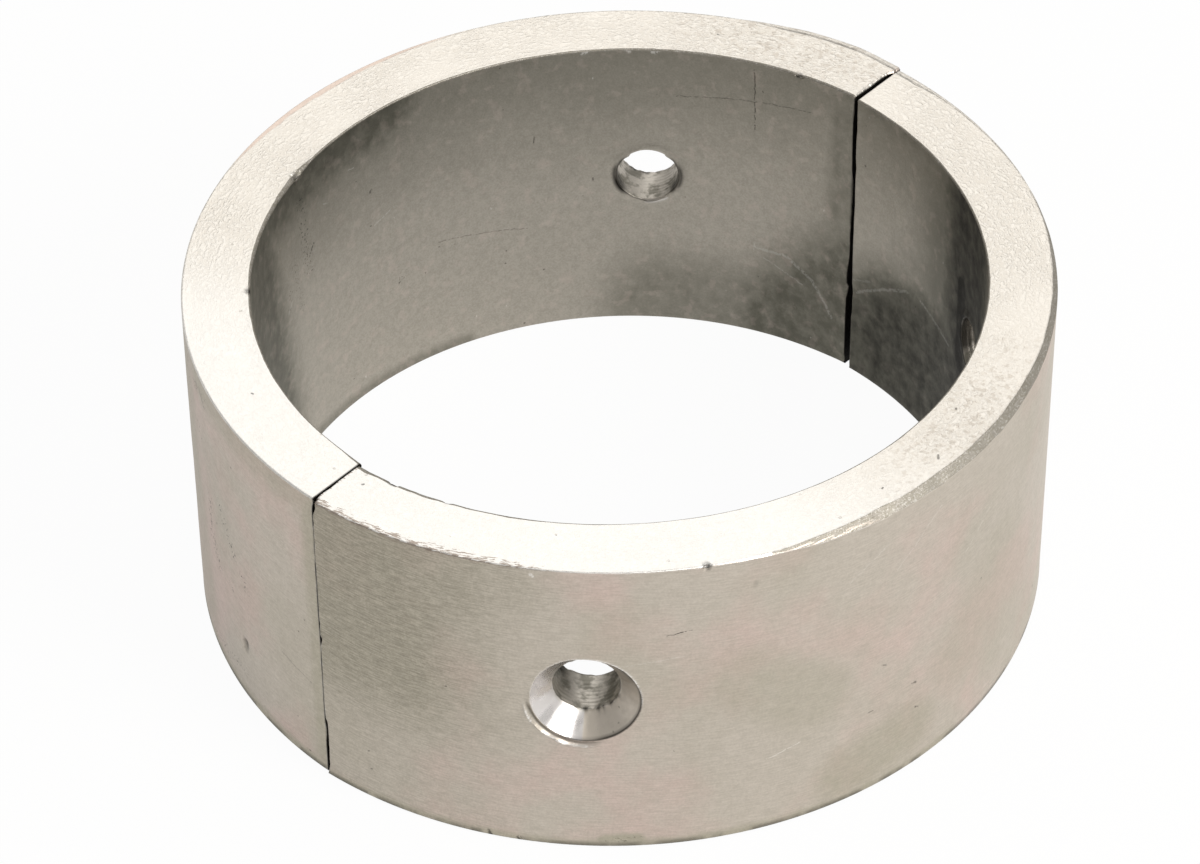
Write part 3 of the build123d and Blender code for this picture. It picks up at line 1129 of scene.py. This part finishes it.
def marked_places(g, unrolled, marks):
    """Masks of a wall's marks: dark and light scratches, scattered small pits and soft darker patches, which
    on the bore wall's side away from the key lamp are painted shade, and along the outer wall's foot painted
    shadow.
    """
    shaken = g.group("Unsteady hand", Unrolled=unrolled, Wander=0.15)
    place = g.join(shaken["Across"], shaken["Up"])
    crumbs = g.span(g.noise(place, 2.6, 1.0, 0.5), 0.60, 0.68)
    faint = g.plus(0.35, g.times(g.noise(place, 0.45, 4.0, 0.6), 1.1))
    broken = {"dark": shaken["Gaps"], "light": shaken["Gaps"], "pitted": crumbs, "darkened": faint}
    masks = {}
    for kind, breaks in broken.items():
        total = 0.0
        for start, end, width, *share in marks.get(kind, ()):
            mask = g.group("Scratch", Place=place, Start=(*start, 0), End=(*end, 0), Width=width)["Mask"]
            total = g.most(total, g.times(mask, *share))
        masks[kind] = g.times(total, breaks)
    return masks


def turned_zinc(finish, half):
    """Outer wall: turned, then rubbed down, with duller streaky patches and a few marks."""

    def fill(g, place, unrolled, arris, grime, shine, fringe):
        along, up, _ = g.split(unrolled)
        lines = g.group("Turning lines", Unrolled=unrolled, Pitch=0.20, Length=2.4, Slope=half.slope)
        grain = g.group("Cast grain", Vector=place, Size=0.30, Coarseness=0.3)
        darkened = g.group("Blotches", Vector=place, Size=20.0, Softness=0.13, Level=0.56)["Mask"]
        moved = g.vector("ADD", place, (0.3, 0.1, 0.2))
        rosy = g.group("Blotches", Vector=moved, Size=17.0, Softness=0.12, Level=0.56)["Mask"]
        specks = g.group("Pits", Vector=place, Size=2.6, Radius=0.20, Share=0.10)["Mask"]
        worn = g.group("Edge wear", Vector=place, Arris=arris, Width=0.22, Raggedness=0.30)["Mask"]
        marked = marked_places(g, unrolled, OUTER_MARKS[half.name])

        wavy = g.plus(along, g.times(g.noise(place, 90.0, 3.0), 16.0))
        rubbed = g.span(wavy, *half.rubbed)
        rubbed = g.times(rubbed, g.span(g.plus(up, g.times(along, -0.08)), 16.0, 30.0, 0.25, 1.0))
        # Duller tone, with the painted shadow along the foot that the marked patches carry
        duller_and_shade = g.most(g.times(darkened, 0.35), g.times(rubbed, 0.75), marked["darkened"])

        slivers = g.group("Turning lines", Unrolled=unrolled, Pitch=0.26, Length=1.3, Slope=0.12)["Shade"]
        cover = g.plus(g.times(slivers, 0.7), g.times(g.span(fringe, 0.55, 1.0), 0.8))
        drawn = g.group("Turning lines", Unrolled=unrolled, Pitch=0.15, Length=1.8)["Shade"]
        # Painted glint: bright drawn lines along the lip under the front bevel
        lip = g.times(shine, g.span(drawn, 0.35, 0.60, 0.30, 1.0))
        # Pits and dark marks, and the mesh's dark mark: dark joints, dents, and painted shadow at the foot
        # and round the screw holes
        darkening = g.most(g.times(specks, 0.5), g.times(marked["dark"], 0.75), grime)
        darkening = g.most(darkening, g.times(marked["pitted"], 0.85))
        tint = g.coats(
            finish.turned,
            (rosy, finish.turned_rosy),
            (duller_and_shade, finish.turned_dark),
            (g.times(lines["Shade"], g.plus(0.18, g.times(rubbed, 0.40))), finish.streak),
            (g.times(grain["Shade"], g.plus(0.16, g.times(rubbed, 0.18))), finish.streak),
            (g.times(worn, g.less(1.0, fringe), 0.4), finish.cut),
            (g.times(g.span(cover, 1.02, 1.14), 0.45), finish.torn),
            (g.most(lip, g.times(marked["light"], 0.6)), finish.cut),
            (darkening, finish.grime),
        )

        roughness = g.plus(0.44, g.times(grain["Shade"], 0.12), g.times(rubbed, 0.06))
        height = g.plus(g.times(lines["Height"], g.plus(0.6, rubbed)), grain["Height"])
        sunk = g.most(specks, marked["dark"], marked["pitted"])
        return tint, g.less(roughness, g.times(lip, 0.2)), g.less(height, g.times(sunk, 1.6))

    return zinc(f"turned_zinc_{half.name}", 0.03, fill)


def top_zinc(finish, half):
    """Top and bottom faces: pale crinkled skin, flaky where a tool caught it, and paler on one side by a
    painted highlight.
    """

    def fill(g, place, unrolled, arris, grime, shine, fringe):
        along, up, out = g.split(unrolled)
        flat = g.join(along, out)
        grain = g.group("Cast grain", Vector=place, Size=0.30, Coarseness=0.25)
        folds = g.group("Crinkle", Flat=flat, Size=0.8, Stretch=1.7)
        flakes = g.group("Cast grain", Vector=place, Size=0.8, Coarseness=0.2)
        moved = g.vector("ADD", place, (0.2, 0.5, 0))
        rougher = g.group("Blotches", Vector=moved, Size=16.0, Level=0.47)["Mask"]
        specks = g.group("Pits", Vector=place, Size=1.7, Radius=0.22, Share=0.12)["Mask"]
        away = g.vector("MULTIPLY", g.vector("SUBTRACT", flat, half.flaky), (0.35, 1.0, 1.0))
        ragged = g.times(g.less(g.noise(place, 300.0, 3.0), 0.5), 7.0)
        flaky = g.span(g.plus(g.vector("LENGTH", away), ragged), 8.0, 2.5)
        # Painted highlight: the top gets paler towards one side, and its folds show less there
        pale = g.span(g.vector("DOT_PRODUCT", place, half.pale), 0.2, 0.7)
        calm = g.times(g.less(1.0, g.times(pale, 0.75)), g.less(1.0, shine))
        strength = g.times(g.plus(0.45, g.times(rougher, 0.55)), calm)
        gritty = g.times(g.less(1.0, grain["Shade"]), g.plus(0.06, g.times(calm, 0.30)))

        slivers = g.group("Turning lines", Unrolled=flat, Pitch=0.26, Length=1.3, Slope=0.12)["Shade"]
        cover = g.plus(g.times(slivers, 0.7), g.times(fringe, 0.8))
        outward = g.span(up, HEIGHT / MM - 0.03, HEIGHT / MM - 0.12)
        dots = 0.0
        for start, end, width in TOP_MARKS[half.name]:
            spot = g.group("Scratch", Place=flat, Start=(*start, 0), End=(*end, 0), Width=width)["Mask"]
            dots = g.most(dots, spot)
        tint = g.coats(
            finish.top,
            # Painted highlight on the paler side
            (pale, finish.top_pale),
            # Painted shade of the folds
            (g.times(folds["Shade"], strength, 0.34), finish.top_grit_and_fold_shade),
            (gritty, finish.top_grit_and_fold_shade),
            # Burnished band, and the painted shade of the tab by the rear joint
            (shine, finish.rosy_burnish_and_painted_light),
            (g.times(flaky, g.span(flakes["Shade"], 0.45, 0.2), 0.65), finish.turned),
            (g.times(specks, 0.35), finish.turned),
            (g.times(g.span(cover, 1.03, 1.12), 0.85), finish.torn),
            (g.times(outward, g.span(fringe, 0.2, 0.6), 0.85), finish.torn),
            (g.most(grime, g.times(dots, 0.6)), finish.grime),
        )

        height = g.plus(g.times(grain["Height"], 0.5), g.times(folds["Height"], strength, 0.65))
        height = g.plus(height, g.times(flakes["Height"], flaky, 1.2))
        height = g.less(height, g.times(g.most(specks, dots), 0.5))
        return tint, g.plus(0.40, g.times(grain["Shade"], 0.12)), height

    return zinc(f"cast_top_zinc_{half.name}", 0.055, fill)


def cast_zinc(finish, half):
    """Bore wall: grey casting skin, darker near the top edge, with painted shade on the side away from the
    key lamp.
    """

    def fill(g, place, unrolled, arris, grime, shine, fringe):
        along, up, _ = g.split(unrolled)
        grain = g.group("Cast grain", Vector=place, Size=0.28, Coarseness=0.35)
        specks = g.group("Pits", Vector=place, Size=2.2, Radius=0.20, Share=0.14)["Mask"]
        squeezed = g.vector("MULTIPLY", place, (1.0, 1.0, 0.5))
        nicks = g.group("Pits", Vector=squeezed, Size=2.0, Radius=0.13, Share=0.30)["Mask"]
        warm = g.group("Blotches", Vector=place, Size=1.7, Softness=0.07, Level=0.60)["Mask"]
        worn = g.group("Edge wear", Vector=place, Arris=arris, Width=0.25, Raggedness=0.25)["Mask"]
        marked = marked_places(g, unrolled, BORE_MARKS[half.name])
        # Painted shade on the side of the bore wall away from the key lamp
        wavy = g.plus(along, g.times(g.noise(place, 110.0, 3.0), 12.0))
        painted_side_shade = g.span(wavy, *half.painted_side_shade)
        high = g.span(g.plus(up, g.times(g.noise(place, 140.0, 3.0), 9.0)), 26.0, 52.0)
        # Darkening of the bore wall near the top edge, and painted shade on its side away from the key lamp
        darkened = g.most(g.times(high, 0.48), g.times(painted_side_shade, 0.7), marked["darkened"])
        # The darkest of it, mostly painted shade, goes on almost black
        deep = g.span(darkened, 0.4, 2.2)
        calm = g.less(1.0, deep)

        bright = g.most(g.times(marked["light"], 0.22), g.times(nicks, calm, 0.32))
        # Pits and dark marks, and the mesh's dark mark: dark joints, dents, and painted shadow round the
        # screw hole's inner mouth
        darkening = g.most(g.times(specks, 0.5), g.times(marked["dark"], 0.55), grime)
        darkening = g.most(darkening, g.times(marked["pitted"], 0.7))
        # The bright lip here is the painted highlight at the screw hole's inner mouth
        tint = g.coats(
            finish.cast,
            (g.math("MINIMUM", darkened, 0.92), finish.cast_dark),
            (g.times(grain["Shade"], 0.34), finish.cast_dark),
            (g.times(warm, calm, 0.16), finish.turned_rosy),
            (g.times(deep, 0.95), finish.grime),
            (g.times(worn, calm, 0.35), finish.turned),
            (g.most(bright, shine), finish.cut),
            (darkening, finish.grime),
        )

        roughness = g.less(g.plus(0.42, g.times(darkened, 0.08)), g.times(shine, 0.15))
        sunk = g.most(specks, marked["dark"], marked["pitted"])
        height = g.plus(g.less(grain["Height"], g.times(sunk, 0.8)), g.times(bright, 0.6))
        return tint, roughness, height

    return zinc(f"cast_bore_zinc_{half.name}", 0.035, fill)


def edge_zinc(finish):
    """Dressed bevel: greyish, streaky and crumbly, darker partly as painted shade, with bright drawn lines
    that are painted glints.
    """

    def fill(g, place, unrolled, arris, grime, shine, fringe):
        grain = g.group("Cast grain", Vector=place, Size=0.40, Coarseness=0.35)
        lines = g.group("Turning lines", Unrolled=unrolled, Pitch=0.16, Length=1.6)
        drawn = g.group("Turning lines", Unrolled=unrolled, Pitch=0.15, Length=2.6)["Shade"]
        crumbs = g.span(g.noise(place, 4200.0, 2.0, 0.6), 0.54, 0.66)
        # Painted glint: bright drawn lines along the front bevel
        bright = g.times(shine, g.span(drawn, 0.50, 0.74))
        spots = g.span(g.noise(place, 700.0, 3.0), 0.3, 0.5)
        # The dark mark here is mostly painted shadow along the foot, with dark joints and dents
        tint = g.coats(
            finish.edge,
            (g.times(lines["Shade"], 0.55), finish.streak),
            (g.times(grain["Shade"], 0.45), finish.streak),
            (g.times(crumbs, 0.28), finish.top_pale),
            (g.times(bright, 0.60), finish.rosy_burnish_and_painted_light),
            (g.times(grime, spots), finish.grime),
        )
        height = g.plus(grain["Height"], g.times(lines["Height"], 0.8))
        return tint, g.less(0.62, g.times(bright, 0.14)), height

    return zinc("edge_zinc", 0.07, fill)


def drilled_zinc(finish):
    """Countersinks and bores of the screw holes: smooth cone with a matt side, scored bore with stains."""

    def fill(g, place, unrolled, arris, grime, shine, fringe):
        _, _, out = g.split(unrolled)
        bore = g.span(out, 52.6, 51.9)
        grain = g.group("Cast grain", Vector=place, Size=0.9, Coarseness=0.6)
        stains = g.group("Blotches", Vector=place, Size=1.8, Softness=0.08, Level=0.52)["Mask"]
        specks = g.group("Pits", Vector=place, Size=0.9, Radius=0.20, Share=0.22)["Mask"]
        # The bright lip near the rims is painted highlight; the dark mark is painted shadow along the cone's
        # rim and in the bore near the inner mouth, with crumbs of torn metal
        tint = g.coats(
            finish.cone,
            (bore, finish.scored),
            (fringe, finish.turned),
            (g.times(specks, fringe, 0.5), finish.cast_dark),
            (g.times(stains, g.plus(0.10, g.times(bore, 0.55))), finish.cast_dark),
            (shine, finish.cut),
            (grime, finish.grime),
        )
        scored = g.plus(g.times(stains, 0.3), bore)
        roughness = g.plus(0.26, g.times(scored, 0.24), g.times(fringe, 0.16))
        return tint, roughness, g.less(grain["Height"], g.times(specks, fringe))

    return zinc("drilled_zinc", 0.014, fill)


def sawn_zinc(finish):
    """Sawn faces inside the joints: straight saw lines under dirt."""

    def fill(g, place, unrolled, arris, grime, shine, fringe):
        x, _, z = g.split(place)
        lines = g.noise(g.join(g.times(x, 40.0), 0.0, g.times(z, 2200.0)), 1.0, 2.0)
        darkening = g.group("Blotches", Vector=place, Size=5.0, Softness=0.2, Level=0.22)["Mask"]
        tint = g.mix(darkening, finish.cast_dark, finish.grime)
        return tint, g.plus(0.55, g.times(darkening, 0.2)), lines

    return zinc("sawn_zinc", 0.03, fill)


# Marks on the walls of each half: start, end, width and share. Places are in millimetres round the ring, as
# measured on the outer wall, and up.
OUTER_MARKS = {
    "front_half": {
        "dark": [
            ((-40.5, 35.0), (-37.5, 35.6), 0.08),
            ((-7.3, 14.4), (-6.6, 14.1), 0.20, 0.7),
            ((-14.2, 13.5), (-13.5, 13.4), 0.18, 0.6),
            ((-12.3, 20.4), (-11.8, 20.1), 0.18, 0.6),
            ((-6.6, 9.8), (-6.2, 9.5), 0.20, 0.7),
            ((-85.6, 22.4), (-85.0, 23.2), 0.20),
            ((-62.2, 0.9), (-62.1, 0.5), 0.40),
            ((-58.5, 0.8), (-58.4, 0.5), 0.40),
        ],
        "pitted": [
            ((-47.5, 1.2), (-44.0, 1.4), 1.0, 0.5),
        ],
        "light": [
            ((-28.2, 12.0), (-23.8, 13.2), 0.12, 0.7),
            ((-56.3, 44.6), (-56.1, 44.4), 0.30),
            ((-10.5, 35.0), (-3.5, 41.2), 0.14, 0.34),
            ((-17.5, 36.5), (-12.0, 40.0), 0.14, 0.30),
            ((1.0, 29.5), (7.0, 34.0), 0.14, 0.35),
            ((-46.0, 30.5), (-38.5, 31.5), 0.12, 0.30),
        ],
        "darkened": [
            ((-17.0, 5.0), (-8.0, 7.0), 7.0, 0.75),
            ((-31.0, 26.0), (-22.0, 20.0), 8.0, 0.55),
            ((2.0, 14.0), (10.0, 24.0), 9.0, 0.45),
            ((-86.0, 36.0), (-86.0, 20.0), 5.0, 0.8),
            # Painted shadow along the foot
            ((-86.0, 0.0), (0.0, 0.0), 2.2, 1.0),
            ((-47.5, 0.8), (-44.5, 1.0), 2.2, 1.5),
        ],
    },
    "rear_half": {
        "dark": [
            ((54.6, 42.4), (57.2, 43.2), 0.14, 0.6),
            ((57.8, 43.4), (60.1, 41.6), 0.18, 0.7),
            ((77.4, 15.5), (83.0, 14.0), 0.08, 0.5),
        ],
        "pitted": [
            ((59.3, 27.0), (59.0, 21.5), 1.3),
            ((59.2, 21.0), (61.2, 17.0), 1.4),
            ((63.0, 28.8), (66.9, 23.0), 1.2),
            ((56.6, 2.0), (67.8, 4.5), 1.2, 0.7),
            ((55.6, 42.0), (60.4, 43.4), 1.1, 0.7),
            ((56.0, 36.0), (57.2, 35.0), 0.9),
            ((64.8, 17.0), (65.6, 16.4), 0.60),
            ((68.9, 21.2), (69.8, 19.8), 1.0),
            ((52.0, 45.0), (51.8, 36.0), 0.60, 0.6),
        ],
        "darkened": [
            ((85.0, 44.0), (85.0, 2.0), 3.0, 0.9),
            ((50.0, 40.0), (54.0, 6.0), 7.0, 0.6),
            ((56.0, 46.0), (84.0, 46.0), 6.0, 0.6),
            # Painted shadow along the foot
            ((50.0, 0.0), (86.0, 0.0), 2.6, 1.1),
        ],
    },
}
BORE_MARKS = {
    "front_half": {
        "light": [
            ((83.8, 13.8), (78.0, 17.2), 0.32, 0.6),
            ((78.0, 17.2), (72.0, 20.1), 0.32, 0.6),
            ((68.5, 20.5), (59.7, 18.8), 0.36, 0.6),
            ((85.0, 15.5), (81.0, 17.0), 0.26, 0.4),
        ],
        # Painted shade: all these darker patches lie on the bore wall's side away from the key lamp
        "darkened": [
            ((92.0, 2.0), (74.0, 8.0), 17.0, 1.35),
            ((74.0, 8.0), (50.0, 13.0), 19.0, 1.6),
            ((51.0, 46.0), (51.0, 2.0), 17.0, 1.8),
            ((55.5, 31.0), (55.5, 19.0), 3.4, 2.4),
            ((80.0, 47.0), (60.0, 47.0), 7.0, 0.6),
        ],
    },
    "rear_half": {
        "dark": [
            ((-67.0, 44.3), (-67.2, 34.6), 0.13),
            ((-54.5, 38.1), (-76.8, 40.0), 0.10, 0.6),
            ((-15.6, 19.3), (-30.9, 17.2), 0.09, 0.7),
            ((11.0, 32.3), (12.0, 31.3), 0.28),
            ((-3.2, 33.4), (-2.9, 33.2), 0.35),
            ((-32.3, 32.3), (-32.1, 31.5), 0.16),
            ((-41.5, 24.6), (-41.5, 24.0), 0.22),
        ],
        "light": [
            ((-67.6, 14.8), (-73.0, 14.6), 0.34, 0.7),
            ((-73.0, 14.6), (-77.5, 12.0), 0.40, 0.7),
            ((-77.5, 12.0), (-81.5, 7.0), 0.40, 0.7),
            ((-69.0, 13.2), (-76.0, 10.6), 0.18, 0.6),
            ((-67.4, 15.4), (-67.2, 14.0), 0.12),
            ((-3.5, 27.3), (-7.5, 28.6), 0.14),
            ((18.2, 27.2), (19.6, 26.0), 0.22),
            ((8.0, 37.0), (6.6, 36.6), 0.14),
            ((1.5, 39.0), (0.3, 38.8), 0.14),
            ((-40.8, 45.2), (-40.0, 45.2), 0.40, 2.6),
            ((-47.4, 45.1), (-46.8, 45.1), 0.35, 2.2),
            ((-51.8, 45.2), (-50.8, 45.2), 0.40, 2.4),
        ],
        "pitted": [
            ((-8.9, 16.8), (-7.9, 16.0), 0.9),
            ((14.0, 41.0), (12.5, 29.0), 1.9),
            ((18.5, 28.5), (19.2, 26.5), 1.1),
            ((17.0, 33.0), (15.0, 24.0), 1.3, 0.7),
        ],
        "darkened": [
            ((34.0, 46.0), (27.0, 8.0), 15.0, 1.1),
            ((20.0, 50.0), (-4.0, 50.0), 17.0, 1.1),
            # Painted shade: these three patches lie on the bore wall's side away from the key lamp
            ((-74.0, 2.0), (-88.0, 14.0), 17.0, 0.95),
            ((-52.0, 2.0), (-90.0, 2.0), 14.0, 0.6),
            ((-84.0, 44.0), (-84.0, 12.0), 7.0, 0.6),
            ((30.0, 0.0), (-20.0, 0.0), 2.5, 0.6),
        ],
    },
}
# Marks on the top faces: start, end and width. Places are in millimetres round the ring and from its axis.
TOP_MARKS = {
    "front_half": [
        ((-10.4, 51.6), (-10.2, 51.5), 0.14),
        ((-82.0, 49.1), (-81.9, 49.0), 0.20),
        ((-1.3, 52.4), (-0.8, 52.0), 0.20),
        ((8.0, 49.0), (8.2, 48.9), 0.16),
    ],
    "rear_half": [((64.0, 50.1), (64.2, 50.0), 0.16), ((-60.0, 51.0), (-59.8, 51.1), 0.14)],
}


def finishes_of(half):
    """The six materials of a half, in the order of its faces' slots."""
    finish = bpy.context.scene.anode_finish
    return [
        turned_zinc(finish, half),
        top_zinc(finish, half),
        cast_zinc(finish, half),
        edge_zinc(finish),
        drilled_zinc(finish),
        sawn_zinc(finish),
    ]


# ---------------------------------------------------------------- Operators


def make_half(half):
    """Builds a half, puts it in its place and lets it stand for its solid."""
    sizes = bpy.context.scene.anode_sizes
    mesh = half_skin(sizes, half).mesh(half.name + "_visual")
    turned = Matrix.Rotation(math.radians(half.turn), 4, "Z")
    side = -1 if half.turn == 0 else 1
    mesh.transform(Matrix.Translation((side * sizes.slip / 2, -side * sizes.closing, 0)) @ turned)
    for material in finishes_of(half):
        mesh.materials.append(material)
    piece = bpy.data.objects.new(half.name + "_visual", mesh)
    bpy.context.scene.collection.objects.link(piece)
    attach(piece, "root")
    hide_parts(half.name)


class ANODE_OT_front_half(bpy.types.Operator):
    """Build the front half, which has two screw holes"""

    bl_idname = "anode.front_half"
    bl_label = "Front Half"

    def execute(self, context):
        make_half(FRONT)
        return {"FINISHED"}


class ANODE_OT_rear_half(bpy.types.Operator):
    """Build the rear half, which has one screw hole"""

    bl_idname = "anode.rear_half"
    bl_label = "Rear Half"

    def execute(self, context):
        make_half(REAR)
        return {"FINISHED"}


def make_floor(stage):
    """Flat pale floor, plain white to the camera apart from a share of the shadow."""
    made = bpy.data.meshes.new("floor")
    made.from_pydata([(-4, -4, 0), (4, -4, 0), (4, 4, 0), (-4, 4, 0)], [], [(0, 1, 2, 3)])
    material = bpy.data.materials.new("floor_white")
    material.use_nodes = True
    g = Graph(material.node_tree)
    nodes = material.node_tree.nodes
    shader, result = nodes["Principled BSDF"], nodes["Material Output"]
    shader.inputs["Base Color"].default_value = solid(stage.floor)
    shader.inputs["Roughness"].default_value = 0.9
    shader.inputs["Specular IOR Level"].default_value = 0.2
    white = g.add("Emission", None, (1, 1, 1, 1), 1.0).outputs[0]
    path = g.add("LightPath").outputs
    seen = g.most(path["Is Camera Ray"], path["Is Transmission Ray"])
    share = g.plus(g.times(seen, stage.white), g.times(path["Is Glossy Ray"], stage.white_gloss))
    blend = g.add("MixShader", None, share, shader.outputs[0], white)
    material.node_tree.links.new(blend.outputs[0], result.inputs["Surface"])
    made.materials.append(material)
    floor = bpy.data.objects.new("floor", made)
    bpy.context.scene.collection.objects.link(floor)


def make_world(stage):
    """Even light from all round, white to the camera."""
    world = bpy.data.worlds.new("studio")
    world.use_nodes = True
    g = Graph(world.node_tree)
    light = world.node_tree.nodes["Background"]
    light.inputs[0].default_value = (1.0, 0.985, 0.96, 1)
    light.inputs[1].default_value = stage.world
    white = g.add("Background", None, (1, 1, 1, 1), 1.0).outputs[0]
    path = g.add("LightPath").outputs
    seen = g.most(path["Is Camera Ray"], path["Is Transmission Ray"])
    blend = g.add("MixShader", None, seen, light.outputs[0], white)
    world.node_tree.links.new(blend.outputs[0], world.node_tree.nodes["World Output"].inputs["Surface"])
    bpy.context.scene.world = world


def soft_box(name, turn, rise, distance, size, power, tint=(1.0, 0.98, 0.95)):
    """Square lamp aimed at the ring's middle. Turn, from -Y towards +X, and rise are in degrees."""
    lamp = bpy.data.lights.new(name, "AREA")
    lamp.shape = "SQUARE"
    lamp.size, lamp.energy, lamp.color = size, power, tint
    turn, rise = math.radians(turn), math.radians(rise)
    away = Vector((math.sin(turn) * math.cos(rise), -math.cos(turn) * math.cos(rise), math.sin(rise)))
    middle = Vector((0, 0, 0.03))
    aim = away.to_track_quat("Z", "Y").to_matrix().to_4x4()
    held = bpy.data.objects.new(name, lamp)
    held.matrix_world = Matrix.Translation(away * distance + middle) @ aim
    bpy.context.scene.collection.objects.link(held)


def make_camera(stage):
    """Camera above the front left of the ring, looking down at it."""
    data = bpy.data.cameras.new("camera")
    data.sensor_width, data.lens = 36.0, stage.lens
    data.clip_start, data.clip_end = 0.01, 20.0
    camera = bpy.data.objects.new("camera", data)
    camera.matrix_world = (
        Matrix.Translation(stage.camera)
        @ Matrix.Rotation(stage.heading, 4, "Z")
        @ Matrix.Rotation(math.pi / 2 - stage.pitch, 4, "X")
        @ Matrix.Rotation(stage.roll, 4, "Z")
    )
    bpy.context.scene.collection.objects.link(camera)
    bpy.context.scene.camera = camera


class ANODE_OT_stage(bpy.types.Operator):
    """Set up the floor, the lamps and the camera"""

    bl_idname = "anode.stage"
    bl_label = "Stage"

    def execute(self, context):
        stage = context.scene.anode_stage
        make_floor(stage)
        make_world(stage)
        soft_box("key_lamp", 2, 38, 0.9, 0.35, stage.key)
        soft_box("back_lamp", 131.3, 47, 1.1, 0.8, stage.back)
        make_camera(stage)
        context.scene.view_settings.view_transform = "Standard"
        return {"FINISHED"}


class ANODE_PT_panel(bpy.types.Panel):
    """Buttons and settings of the anode"""

    bl_label = "Anode"
    bl_idname = "ANODE_PT_panel"
    bl_space_type = "VIEW_3D"
    bl_region_type = "UI"
    bl_category = "Anode"

    def draw(self, context):
        layout = self.layout
        for operator in OPERATORS:
            layout.operator(operator.bl_idname)
        for name in GROUPS:
            group = getattr(context.scene, name)
            box = layout.box()
            for field in group.bl_rna.properties:
                if field.identifier not in ("rna_type", "name"):
                    box.prop(group, field.identifier)


OPERATORS = (ANODE_OT_front_half, ANODE_OT_rear_half, ANODE_OT_stage)
GROUPS = {"anode_sizes": AnodeSizes, "anode_finish": AnodeFinish, "anode_stage": AnodeStage}


def register():
    """Registers the settings, the operators and the panel."""
    for item in (*GROUPS.values(), *OPERATORS, ANODE_PT_panel):
        bpy.utils.register_class(item)
    for name, group in GROUPS.items():
        setattr(bpy.types.Scene, name, bpy.props.PointerProperty(type=group))


def unregister():
    """Takes them all away again."""
    for name in GROUPS:
        delattr(bpy.types.Scene, name)
    for item in reversed((*GROUPS.values(), *OPERATORS, ANODE_PT_panel)):
        bpy.utils.unregister_class(item)


def main():
    """Builds both halves and the stage."""
    register()
    bpy.ops.anode.front_half()
    bpy.ops.anode.rear_half()
    bpy.ops.anode.stage()


if __name__ == "__main__":
    main()
